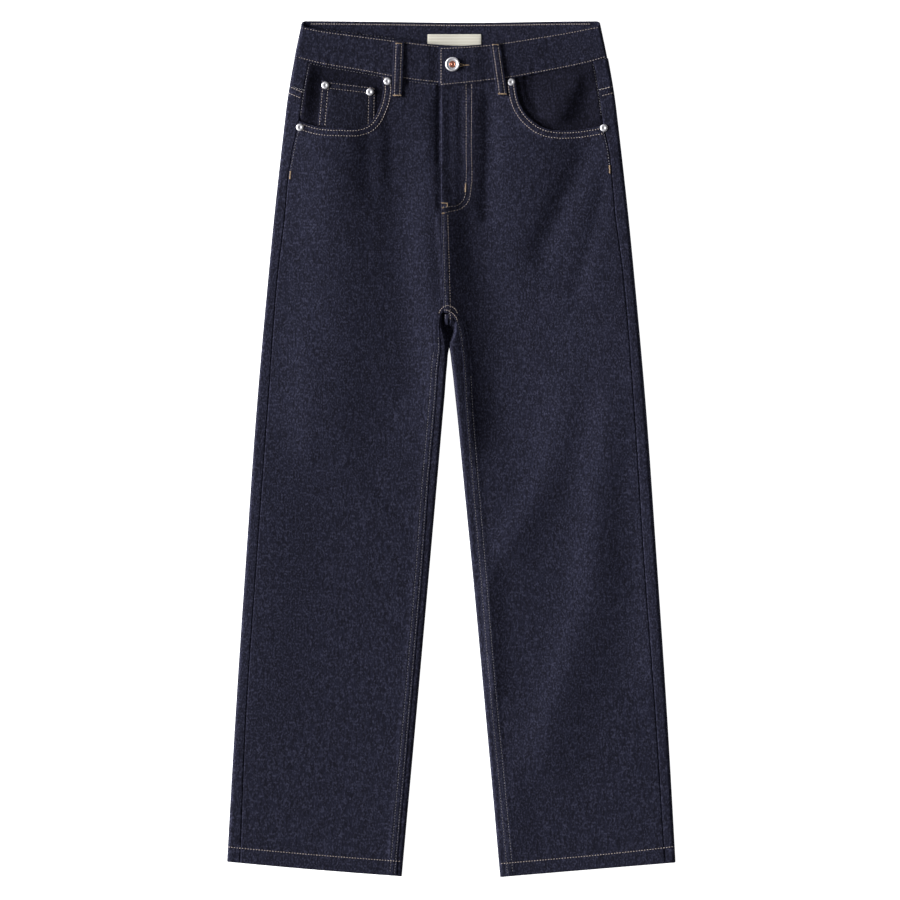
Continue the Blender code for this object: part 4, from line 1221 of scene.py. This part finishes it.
def satin_metal(name, colour, roughness, worn):
    """Satin plate: a metal whose colour is a little uneven, with a fine even bump."""
    material, shader = finish(name, colour, roughness, metallic=1.0)
    uneven = contrast(material, grain(material, 2.2, 2.2, 3.0), 0.3, 0.75)
    paint(material, shader, mixed(material, uneven, colour, worn))
    bumped(material, shader, grain(material, 0.5, 0.5, 2.0), 0.03)
    return material


NICKEL = satin_metal("satin_nickel_plate", "F1F0F5", 0.6, "DDDCE2")
COPPER = satin_metal("satin_copper", "DE9C86", 0.45, "A9614E")


def turned(name, at, base, profile, material, slot, steps=64):
    """A round piece: a profile of radius and height in steps of 0.35 mm or less, carried round
    the vertical through its middle."""
    profile = np.asarray(profile, float)
    fine = fill(np.column_stack([run_of(profile), profile]), 0.35)[:, 1:]
    rings = fine[fine[:, 0] > 0]
    turn = np.linspace(0, 2 * np.pi, steps, endpoint=False)[None, :]
    x, drop = at[0] + rings[:, :1] * np.cos(turn), at[1] + rings[:, :1] * np.sin(turn)
    points = np.stack([x, drop, base + rings[:, 1:] + 0 * turn], axis=-1).reshape(-1, 3)
    cell = np.arange(len(points)).reshape(len(rings), steps)
    after = np.roll(cell, -1, axis=1)
    sides = np.stack([cell[:-1], after[:-1], after[1:], cell[1:]], axis=-1).reshape(-1, 4)
    pole = np.full(steps, len(points))
    foot = np.stack([pole, after[0], cell[0]], axis=-1)
    crown = np.stack([pole + 1, cell[-1], after[-1]], axis=-1)
    points = np.concatenate([points, [(*at, base + fine[0, 1]), (*at, base + fine[-1, 1])]])
    faces = [sides, np.concatenate([foot, crown])]
    return add_piece(name + "_metal", points, faces, material, slot, (name,), sharp=35)


def rest_under(at, radius):
    """The highest cloth under a round piece."""
    turn = np.linspace(0, 2 * np.pi, 13)[None, :]
    reach = np.array([0, 0.5, 1])[:, None] * radius
    return float(top_height(at[0] + reach * np.cos(turn), at[1] + reach * np.sin(turn)).max())


def button():
    """The dished ring, and the round head that sits in its well."""
    base = rest_under(BUTTON_AT, BUTTON_RADIUS) + SEAM_GAP
    r, h, c = BUTTON_RADIUS, BUTTON_HEIGHT, BUTTON_CENTRE_RADIUS
    well = c + SEAM_GAP
    low = h - 1.8 + SEAM_GAP
    ring = (
        (0, 0), (r - 2.4, 0), (r - 0.7, 0.8), (r - 0.1, 1.4), (r, 1.8), (r - 0.2, h - 0.7),
        (r - 0.9, h - 0.1), (r - 1.6, h), (r - 2.3, h - 0.3), (well + 1.2, h - 0.7),
        (well + 0.3, h - 0.6), (well, h - 0.9), (well, h - 1.8), (0, h - 1.8),
    )
    head = (
        (0, low), (c, low), (c, h - 1.0), (c - 0.5, h - 0.55), (c - 1.1, h - 0.5),
        (c - 1.6, h - 0.8), (1.5, h - 0.8), (1.0, h - 0.45), (0, h - 0.35),
    )
    turned("waist_button", BUTTON_AT, base, ring, NICKEL, "nickel")
    turned("button_centre", BUTTON_AT, base, head, COPPER, "copper", steps=48)


def rivet(name, at):
    """A burr with a rolled foot, a domed shoulder and a dimple."""
    if name.startswith("rivet_coin"):
        spots = np.array([-5.0, 0.0, 5.0])
        base = float(coin_height(at[0] + spots[None, :], at[1] + spots[:, None]).max()) + SEAM_GAP
    else:
        base = rest_under(at, RIVET_RADIUS) + SEAM_GAP
    r, h = RIVET_RADIUS, RIVET_HEIGHT
    profile = (
        (0, 0), (r - 0.4, 0), (r, 0.25), (r - 0.1, 0.55), (r - 0.6, 0.95), (r - 1.3, h - 0.05),
        (r - 2.0, h), (1.7, h - 0.05), (1.2, h - 0.35), (0.6, h - 0.5), (0, h - 0.5),
    )
    turned(name, at, base, profile, NICKEL, "nickel", steps=40)


button()
for rivet_name, rivet_at in RIVETS.items():
    rivet(rivet_name, rivet_at)
print(len(RIVETS), "rivets and a button")

# %% [markdown]
# ## Topstitching
#
# Jeans are sewn with a thick tan thread in stitches about 3.3 mm long, seven or eight to the
# inch, and tacked at each point of strain with a close zigzag. A painted dashed line would lie
# in the cloth, so each stitch is a small rod that rises from one hole and dives into the next.
#
# All the stitches of a group are one mesh. A stitch is a template of four rings of five points.
# It is laid between each pair of holes in one step for the whole group, with arrays. The holes
# are found by dropping a ray on the cloth at each, so the thread lies in its groove.

# %% The stitch template
STITCH, STITCH_GAP = 3.3, 1.0
THREAD, HEAVY_THREAD, FINE_THREAD = 0.34, 0.42, 0.25
TACK_RISE = 0.25
# Rays start this far from the floor. A stitch that would drop off an edge by more than a step is
# left out.
RAY_START, EDGE_STEP = 40.0, 3.0
RING_AT = np.array([-0.5, -0.3, 0.3, 0.5])
RING_SIZE = np.array([0.45, 1.0, 1.0, 0.45])
RING_RISE = np.array([-0.28, 0.10, 0.10, -0.28])
SIDES = 5


def rods(starts, ends, radius, sense):
    """Rods between two lists of points: rings of five points that sink at both ends."""
    along_way = ends - starts
    length = np.linalg.norm(along_way, axis=1, keepdims=True)
    forward = along_way / length
    across = np.cross(forward, [0.0, 0.0, sense])
    across /= np.linalg.norm(across, axis=1, keepdims=True)
    upward = np.cross(across, forward)
    turn = 2 * np.pi * (np.arange(SIDES) + 0.5) / SIDES
    middle = (starts + ends) / 2
    core = middle[:, None] + forward[:, None] * (RING_AT[:, None] * length[:, None])
    core = core + upward[:, None] * RING_RISE[:, None]
    ring = across[:, None] * np.cos(turn)[:, None] + upward[:, None] * np.sin(turn)[:, None]
    return core[:, :, None] + ring[:, None] * (radius * RING_SIZE)[:, None, None]


def rod_faces(count):
    """The faces of every rod: quads between its rings, and a five-sided cap on each end."""
    rings = len(RING_AT)
    cell = np.arange(rings * SIDES).reshape(rings, SIDES)
    after = np.roll(cell, -1, axis=1)
    quads = np.stack([cell[:-1], cell[1:], after[1:], after[:-1]], axis=-1).reshape(-1, 4)
    caps = np.stack([cell[0], cell[-1][::-1]])
    shift = (np.arange(count) * rings * SIDES)[:, None, None]
    return [(quads + shift).reshape(-1, 4), (caps + shift).reshape(-1, SIDES)]


def cloth(*names, sense=1):
    """A height over some pieces, at points of x and drop: the first face that a ray meets on its
    way down, or on its way up for sense -1. Where it meets none the height isn't a number."""
    trees = []
    for name in names:
        mesh = bpy.data.objects[name].data
        points = np.empty(3 * len(mesh.vertices), np.float32)
        mesh.vertices.foreach_get("co", points)
        rings = [tuple(polygon.vertices) for polygon in mesh.polygons]
        trees.append(BVHTree.FromPolygons(points.reshape(-1, 3).tolist(), rings))

    def height(x, drop):
        spots = place(np.column_stack([x, drop, np.full(len(x), RAY_START * sense)]))
        levels = np.full((len(trees), len(spots)), np.nan)
        for k, tree in enumerate(trees):
            met = [tree.ray_cast(Vector(spot), Vector((0, 0, -sense)))[0] for spot in spots]
            levels[k] = [np.nan if spot is None else spot.z / MM for spot in met]
        return sense * np.fmax.reduce(sense * levels)

    return height


def row(x, drop, height, pitch=STITCH, gap=STITCH_GAP):
    """Starts and ends of stitches, laid evenly on a line of x and drop, at a height over it."""
    line = np.column_stack(np.broadcast_arrays(x, drop))
    length = run_of(line)
    count = max(1, int(length[-1] / pitch))
    holes = np.arange(count) * length[-1] / count
    ends = []
    for at in (holes, holes + length[-1] / count - gap):
        x, drop = (np.interp(at, length, column) for column in line.T)
        ends.append(np.column_stack([x, drop, height(x, drop)]))
    return ends


def tack(centre, length, width, angle, height, pitch=0.75, taper=0.0):
    """A bar tack: a close zigzag of threads across a short line, lying at an angle in degrees. Its
    width shrinks by a share, taper, towards its far end."""
    count = max(3, int(length / pitch))
    at = np.linspace(-length / 2, length / 2, count)
    width = width * np.linspace(1, 1 - taper, count)
    turn = math.radians(angle)
    way, side_way = (math.cos(turn), math.sin(turn)), (-math.sin(turn), math.cos(turn))
    ends = []
    for sense in (-0.5, 0.5):
        lean = at + sense * pitch
        x = centre[0] + lean * way[0] + sense * width * side_way[0]
        drop = centre[1] + lean * way[1] + sense * width * side_way[1]
        ends.append(np.column_stack([x, drop, height(x, drop) + TACK_RISE]))
    return ends


def sew(name, groups, material, radius=THREAD, sink=0.08):
    """Make one piece of all the stitches of a group. The thread sinks a little into the cloth:
    downwards on top of it, and upwards, with a negative sink, underneath."""
    starts, ends = (np.concatenate([group[k] for group in groups]) for k in (0, 1))
    found = np.abs(starts[:, 2] - ends[:, 2]) < EDGE_STEP
    starts, ends = starts[found] - [0, 0, sink], ends[found] - [0, 0, sink]
    points = rods(starts, ends, radius, math.copysign(1.0, sink))
    print(name, len(starts), "stitches")
    return add_piece(name, points, rod_faces(len(starts)), material, sharp=80)


# %% [markdown]
# The thread is cotton wrapped polyester, twisted from three strands and dyed tan. It is duller
# than silk and lighter than the cloth, and its strands show as a mottle of lighter and darker tan.

# %% Thread


def thread(name, colour, shade):
    """Twisted topstitch thread: two tans mixed in a grain of 0.8 mm, coarser than real strands."""
    material, shader = finish(name, colour, 0.72, specular=0.25)
    strands = contrast(material, grain(material, 0.8, 0.8, 1.0), 0.35, 0.65)
    paint(material, shader, mixed(material, strands, shade, colour))
    return material


TAN_THREAD = thread("tan_topstitch_thread", "CDBFB9", "988B86")
# A grey thread with painted light: darker than the tan as the shade on rows deep in the seams' grooves, and
# pale on the band as the highlight of its puckered edges.
SHADE_AND_HIGHLIGHT_THREAD = thread("grey_thread_painted_shade_and_highlight", "8E8B8F", "615F68")
GOLD_THREAD = thread("gold_tacking_thread", "CDB496", "A58A6C")
print("threads made")

# %% [markdown]
# ## Sewing the front
#
# The lines follow the seams that the relief was made from. The inseams and the centre front are
# sewn with a finer thread than the pockets and hems, painted darker as the shade in their grooves.

# %% Lines on the front


def offset_curve(points, distance):
    """A line parallel to the smooth curve through the points, to one side of it."""
    line = along(points, 120)
    way = np.gradient(line, axis=0)
    way /= np.hypot(*way.T)[:, None]
    return line + distance * np.column_stack([-way[:, 1], way[:, 0]])


ON_BAND = cloth("waistband_cloth")
ON_FRONTS = cloth("front_left_cloth", "front_right_cloth")
ON_LEGS = cloth("front_left_cloth", "front_right_cloth", "back_left_cloth", "back_right_cloth")
INSEAM_STARTS = {RIGHT: (378.0, 396.0), LEFT: (358.0, 424.0)}
CROTCH_UPPER = table(
    (-14.2, 349), (-12.4, 345), (-8.2, 341), (-4, 339.6), (-1, 340), (3, 342), (6, 345), (8.2, 349.5),
)
CROTCH_LOWER = table(
    (-11.2, 345.8), (-7, 345), (-3.4, 345.6), (0.2, 347.4), (3.8, 350.6), (6.4, 354), (8, 358),
)


def hem_row(side, outer, inner, count, height):
    """The row along a hem, from a distance inside its outer end to one inside its inner end."""
    across = np.linspace(half_width(1000.0) - outer, inner_edge(side, 1005.0) + inner, count)
    return row(side * across, hem_drop(side, across) - hem_line(side, across), height)


def leg_rows(side):
    """The double row beside an inseam, which comes out of the crotch some way down, and the single
    row down the side seam, on the facing and then on the front."""
    made = []
    for line, first in zip(INSEAM_LINES[side], INSEAM_STARTS[side]):
        drops = np.arange(first, LENGTH, 4.0)
        across = inseam(side, drops) + SEAM_GAP / 2 + line
        kept = drops < hem_drop(side, across) - 1.5
        made.append(row(side * across[kept], drops[kept], ON_FRONTS))
    on_facing = cloth(f"pocket_facing_{SIDE_NAME[side]}_cloth")
    upper = (50.0, 114.0, 0.8, on_facing)
    lower = (FACING_BOTTOM - 10.0, SIDE_STITCH_END, SIDE_LINE, ON_FRONTS)
    for start, end, inside, on_it in (upper, lower):
        drops = np.arange(start, end, 3.0)
        made.append(row(side * (side_seam(side, drops) - inside), drops, on_it))
    return made


def heavy_rows(side):
    """The double row round a pocket opening, the row round the hem, over the front and the strips
    of the back beside it, and the yoke's double row where it shows."""
    made = []
    for line in POCKET_LINES:
        x, drop = offset_curve(POCKETS[side], side * line).T
        kept = (drop > band_edge(side, x, 2) + 1.5) & (side * x < side_seam(side, drop) - 1.0)
        made.append(row(x[kept], drop[kept], ON_FRONTS))
    made.append(hem_row(side, 1.5, 1.5, 80, ON_LEGS))
    on_back = cloth(f"back_{SIDE_NAME[side]}_cloth")
    across = np.linspace(side_seam(side, 85.0) + 0.5, half_width(85.0) - 0.3, 12)
    steeper = 0.15 * (across[-1] - across) if side == RIGHT else 0.0
    for line in YOKE_LINES:
        drops = row_drop(side, YOKE_OUTER, YOKE_CENTRE, across) + line + steeper
        made.append(row(side * across, drops, on_back, 3.0, 0.5))
    return made


def centre_rows():
    """The double row down the centre front, which runs on over the end of the seat seam."""
    drops = np.arange(FLY_END + 16.0, 359.0, 3.0)
    edge = np.interp(drops, CENTRE_FRONT[:6, 0], CENTRE_FRONT[:6, 1]) + SEAM_GAP
    return [row(edge + line, drops, ON_LEGS) for line in CENTRE_LINES]


def band_rows():
    """The rows along both edges of the front waistband, and down its overlapping end."""
    made = []
    end_x = BAND_END_X[LEFT] + BAND_LINE
    for half, start, end in ((RIGHT, -186.0, FLY_EDGE - 2.0), (LEFT, end_x, 186.0)):
        x = np.linspace(start, end, 120)
        top = band_edge(half, x, 1) + BAND_LINE
        shown = np.abs(x) < half_width(top) - 1
        made.append(row(x[shown], top[shown], ON_BAND))
        made.append(row(x, band_edge(half, x, 2) - BAND_LINE, ON_BAND))
    return made + [row(end_x, np.linspace(33.0, 74.0, 20), ON_BAND)]


def band_edge_highlight_rows():
    """Rows of pale thread as painted highlight, where the puckered edges of the band's right half
    catch the light: one just beyond its top edge and two just beyond its bottom edge.
    """
    x = np.linspace(-150.0, -66.0, 60)
    made = [row(x, band_edge(RIGHT, x, 1) - 1.5, ON_BAND, 4.4, 2.0)]
    on_top = cloth("pocket_facing_right_cloth", "front_right_cloth")
    for start, end in ((-172.0, -72.0), (-50.0, FLY_EDGE - 3.0)):
        x = np.linspace(start, end, 60)
        made.append(row(x, band_edge(RIGHT, x, 2) + 1.4, on_top, 3.4, 1.4))
    return made


def back_band_row():
    """The row inside the back of the waistband, which is sewn close with a heavier thread."""
    x = np.linspace(-168.0, 168.0, 90)
    return row(x, back_band_top(x) + BACK_BAND_LINE, ON_BAND, 3.0, 0.5)


def coin_rows():
    """Two rows along the top of the coin pocket and down each of its sides."""
    made = []
    steps = np.linspace(0, 1, 30)
    on_coin = cloth("coin_pocket_cloth")
    for line in COIN_LINES:
        inside, down = line / COIN_WIDTH, 0.03 + 0.82 * steps
        for u, v in ((0.02 + 0.96 * steps, line / COIN_DEPTH), (inside, down), (1 - inside, down)):
            made.append(row(*coin_point(u, v), on_coin))
    return made


def loop_rows(side):
    """Two rows down a front loop."""
    t = np.linspace(0.03, 0.97, 30)
    on_loop = cloth(f"belt_loop_front_{SIDE_NAME[side]}_cloth")
    return [row(*loop_point(side, t, offset), on_loop) for offset in LOOP_ROWS]


def both(make):
    """What a function of the side makes for the right side, and then for the left."""
    return make(RIGHT) + make(LEFT)


inner_centre, outer_centre = centre_rows()
fly = [row(*along(line, 90).T, ON_FRONTS) for line in (J_INNER, J_OUTER)]
crotch = [row(*along(line, 60).T, ON_LEGS, 2.8, 0.4) for line in (CROTCH_UPPER, CROTCH_LOWER)]
# Painted shade: the leg seams and the inner centre row take the darker grey thread, for the shade of their
# grooves.
sew("stitches_leg_seams", both(leg_rows) + [inner_centre], SHADE_AND_HIGHLIGHT_THREAD, FINE_THREAD)
sew("stitches_fly", fly + [outer_centre], TAN_THREAD, 0.23)
sew("stitches_crotch", crotch, TAN_THREAD, 0.38)
sew("stitches_coin_pocket", coin_rows(), TAN_THREAD, 0.28)
sew("stitches_pockets_and_hems", both(heavy_rows), TAN_THREAD, HEAVY_THREAD)
sew("stitches_waistband_and_loops", band_rows() + both(loop_rows), TAN_THREAD)
# Painted highlight: pale rows where the band's puckered edges catch the light.
sew("band_edge_painted_highlight_rows", band_edge_highlight_rows(), SHADE_AND_HIGHLIGHT_THREAD, 0.3)
sew("stitches_inside_waistband", [back_band_row()], TAN_THREAD, 0.5)

# %% Tacks and the buttonhole


def loop_tacks(side):
    """A tack across each end of a front loop."""
    on_loop = cloth(f"belt_loop_front_{SIDE_NAME[side]}_cloth")
    made = []
    for t, less, width in ((0.035, 6.0, 0.8), (0.965, 4.0, 1.5)):
        made.append(tack(loop_point(side, t, 0.0), LOOP_WIDTH - less, width, 0, on_loop))
    return made


def buttonhole():
    """A slit worked round with close stitches. Its sides meet beyond the button in a pointed tail."""
    middle = BUTTON_AT[1] + 0.9
    made = [tack((12.5, middle + 1.2 * lean), 8.4, 1.1, -14 * lean, ON_BAND, 0.6) for lean in (-1, 1)]
    return made + [tack((19.0, middle), 6.2, 1.7, 0, ON_BAND, 0.6, 0.8)]


def side_tack(side, drop):
    """The tack that ends the stitching of a side seam."""
    x = side * (float(side_seam(side, drop)) - SIDE_LINE)
    return tack((x, drop), 9.0, 1.8, 90 - 3 * side, ON_FRONTS)


FLY_TACKS = (  # x, drop, length, width, angle
    (17.7, 198.5, 9.5, 1.8, 91),
    (-7.6, 217.0, 6.5, 1.4, 2),
    (-4.2, 218.8, 4.0, 1.3, 90),
    (-9.8, 222.6, 3.2, 1.4, -35),
    (-9.6, 229.4, 3.6, 1.8, -20),
)
tacks = both(loop_tacks) + buttonhole()
tacks += [tack((x, drop), *sizes, ON_FRONTS) for x, drop, *sizes in FLY_TACKS]
tacks += [side_tack(RIGHT, SIDE_STITCH_END - 1), side_tack(LEFT, SIDE_STITCH_END - 8)]
sew("stitches_tacks", tacks, GOLD_THREAD, 0.3)

# %% [markdown]
# ## Sewing the underside
#
# The back has its own stitching: the seat seam, the yoke seams, the pockets, the bottom of the
# waistband, the loops and the hems. They lie against the floor, so this thread sits half sunk.

# %% Lines underneath


def pocket_outline(middle, inset):
    """A line inside a back pocket's edge: down one side, to the point and up the other side."""
    (top, top_drop), (foot, foot_drop), (_, point_drop) = BACK_POCKET
    low = foot_drop - 0.8 * inset
    half = [(inset - top, top_drop + 1), (inset - foot, low), (0, point_drop - 1.1 * inset)]
    half += [(foot - inset, low), (top - inset, top_drop + 1)]
    return fill(np.array(half) + [middle, 0], 3.0)


def underside_rows():
    """Pockets, yoke seams, hems, seat seam, waistband and loops, as seen from below."""
    made = []
    panels = ("back_left", "back_right", "yoke_left", "yoke_right")
    on_backs = cloth(*[name + "_cloth" for name in panels], sense=-1)
    on_patches = cloth("back_pocket_left_cloth", "back_pocket_right_cloth", sense=-1)
    on_band = cloth("waistband_cloth", sense=-1)
    top, top_drop = BACK_POCKET[0]
    for side in (RIGHT, LEFT):
        middle = side * BACK_POCKET_X
        made += [row(*pocket_outline(middle, inset).T, on_patches) for inset in BACK_POCKET_LINES]
        x = middle + np.linspace(2 - top, top - 2, 20)
        made += [row(x, top_drop + line, on_patches) for line in (2.4, 14.0)]
        across = np.linspace(half_width(80.0) - 6, 3.0, 60)
        for line in YOKE_LINES:
            drops = row_drop(side, YOKE_OUTER, YOKE_CENTRE, across) + line
            shown = (np.abs(across - BACK_POCKET_X) >= top + 1) | (drops <= top_drop)
            made.append(row(side * across[shown], drops[shown], on_backs))
        made.append(hem_row(side, 5, 4, 60, on_backs))
    drops = np.linspace(YOKE_CENTRE + 3, 372.0, 60)
    made += [row(CROTCH_X - beside, drops, on_backs) for beside in (2.0, 8.0)]
    x = np.linspace(-172.0, 172.0, 90)
    made.append(row(x, back_band_top(x) + BAND_LINE, on_band))
    made.append(row(x, BACK_BAND_BOTTOM - BAND_LINE, on_band))
    drops = np.linspace(BACK_LOOP_ENDS[0] + 2, BACK_LOOP_ENDS[1] - 2, 16)
    for name, x in BACK_LOOPS.items():
        on_loop = cloth(f"belt_loop_back_{name}_cloth", sense=-1)
        made += [row(x + offset, drops, on_loop) for offset in LOOP_ROWS]
    return made


sew("stitches_underside", underside_rows(), TAN_THREAD, sink=-0.16)

# %% [markdown]
# ## How many triangles
#
# The triangles of every piece are added up and printed.

print(sum(PIECES.values()), "triangles in", len(PIECES), "pieces")

# %% [markdown]
# ## Floor, light and camera
#
# A garment laid out for a catalogue is on a pale table under a broad soft light from one side,
# low enough to rake across the folds, with a weak fill from above. The floor here is a plain
# white that glows slightly, as a lit table does, so that it stays even round the cloth.

# %% Stage
FLOOR_SIZE = 30.0
FLOOR_Z = -0.0006


def floor():
    """A flat square, far wider than any view of the garment."""
    half = FLOOR_SIZE / 2
    mesh = bpy.data.meshes.new("floor")
    corners = [(x * half, y * half, FLOOR_Z) for x, y in ((-1, -1), (1, -1), (1, 1), (-1, 1))]
    mesh.from_pydata(corners, [], [(0, 1, 2, 3)])
    material, shader = finish("pale_lit_table", "F4F4F4", 0.8, specular=0.1)
    shader.inputs["Emission Color"].default_value = linear("FFFFFF")
    shader.inputs["Emission Strength"].default_value = 1.0
    mesh.materials.append(material)
    link("floor", mesh)


def aim(made, x, y, z):
    """Place an object and turn its -Z axis to the origin."""
    made.location = (x, y, z)
    flat = math.hypot(x, y)
    made.rotation_euler = (math.atan2(flat, z), 0.0, math.atan2(x, -y) if flat else 0.0)


# Angles in degrees, powers in watts and sizes in metres.
KEY_ELEVATION, KEY_TURN, KEY_DISTANCE = 15.0, 2.0, 4.0
KEY_STRENGTH, KEY_SOFTNESS = 8.8, 32.0
FILL_POWER, FILL_SIZE, FILL_HEIGHT = 12.0, 3.6, 4.6
SKY = 0.10


def lights():
    """The raking key, a wide overhead fill and a faint even surround."""
    key = bpy.data.lights.new("key", "SUN")
    key.energy, key.angle = KEY_STRENGTH, math.radians(KEY_SOFTNESS)
    rise, turn = math.radians(KEY_ELEVATION), math.radians(KEY_TURN)
    way = (-math.cos(rise) * math.cos(turn), math.cos(rise) * math.sin(turn), math.sin(rise))
    aim(link("key", key), *(KEY_DISTANCE * part for part in way))
    overhead = bpy.data.lights.new("fill", "AREA")
    overhead.energy, overhead.shape, overhead.size = FILL_POWER, "SQUARE", FILL_SIZE
    aim(link("fill", overhead), 0.0, 0.0, FILL_HEIGHT)
    world = bpy.data.worlds.new("studio")
    world.use_nodes = True
    background = world.node_tree.nodes["Background"].inputs
    background["Color"].default_value = (1, 1, 1, 1)
    background["Strength"].default_value = SKY
    bpy.context.scene.world = world


# The frame is measured on the cloth, at its usual level above the floor.
CAMERA_HEIGHT, CLOTH_LEVEL = 10.0, 0.006
FRAME_WIDTH = 1.08
CENTRE = (-0.00102, -0.0012)


def camera():
    """Straight above the middle of the garment. The frame is 1.08 m wide where the cloth lies."""
    view = bpy.data.cameras.new("camera")
    view.sensor_width = 36.0
    view.lens = view.sensor_width * CAMERA_HEIGHT / FRAME_WIDTH
    view.clip_end = 100.0
    made = link("camera", view)
    made.location = (*CENTRE, CAMERA_HEIGHT + CLOTH_LEVEL)
    bpy.context.scene.camera = made


floor()
lights()
camera()
bpy.context.scene.view_settings.view_transform = "Standard"
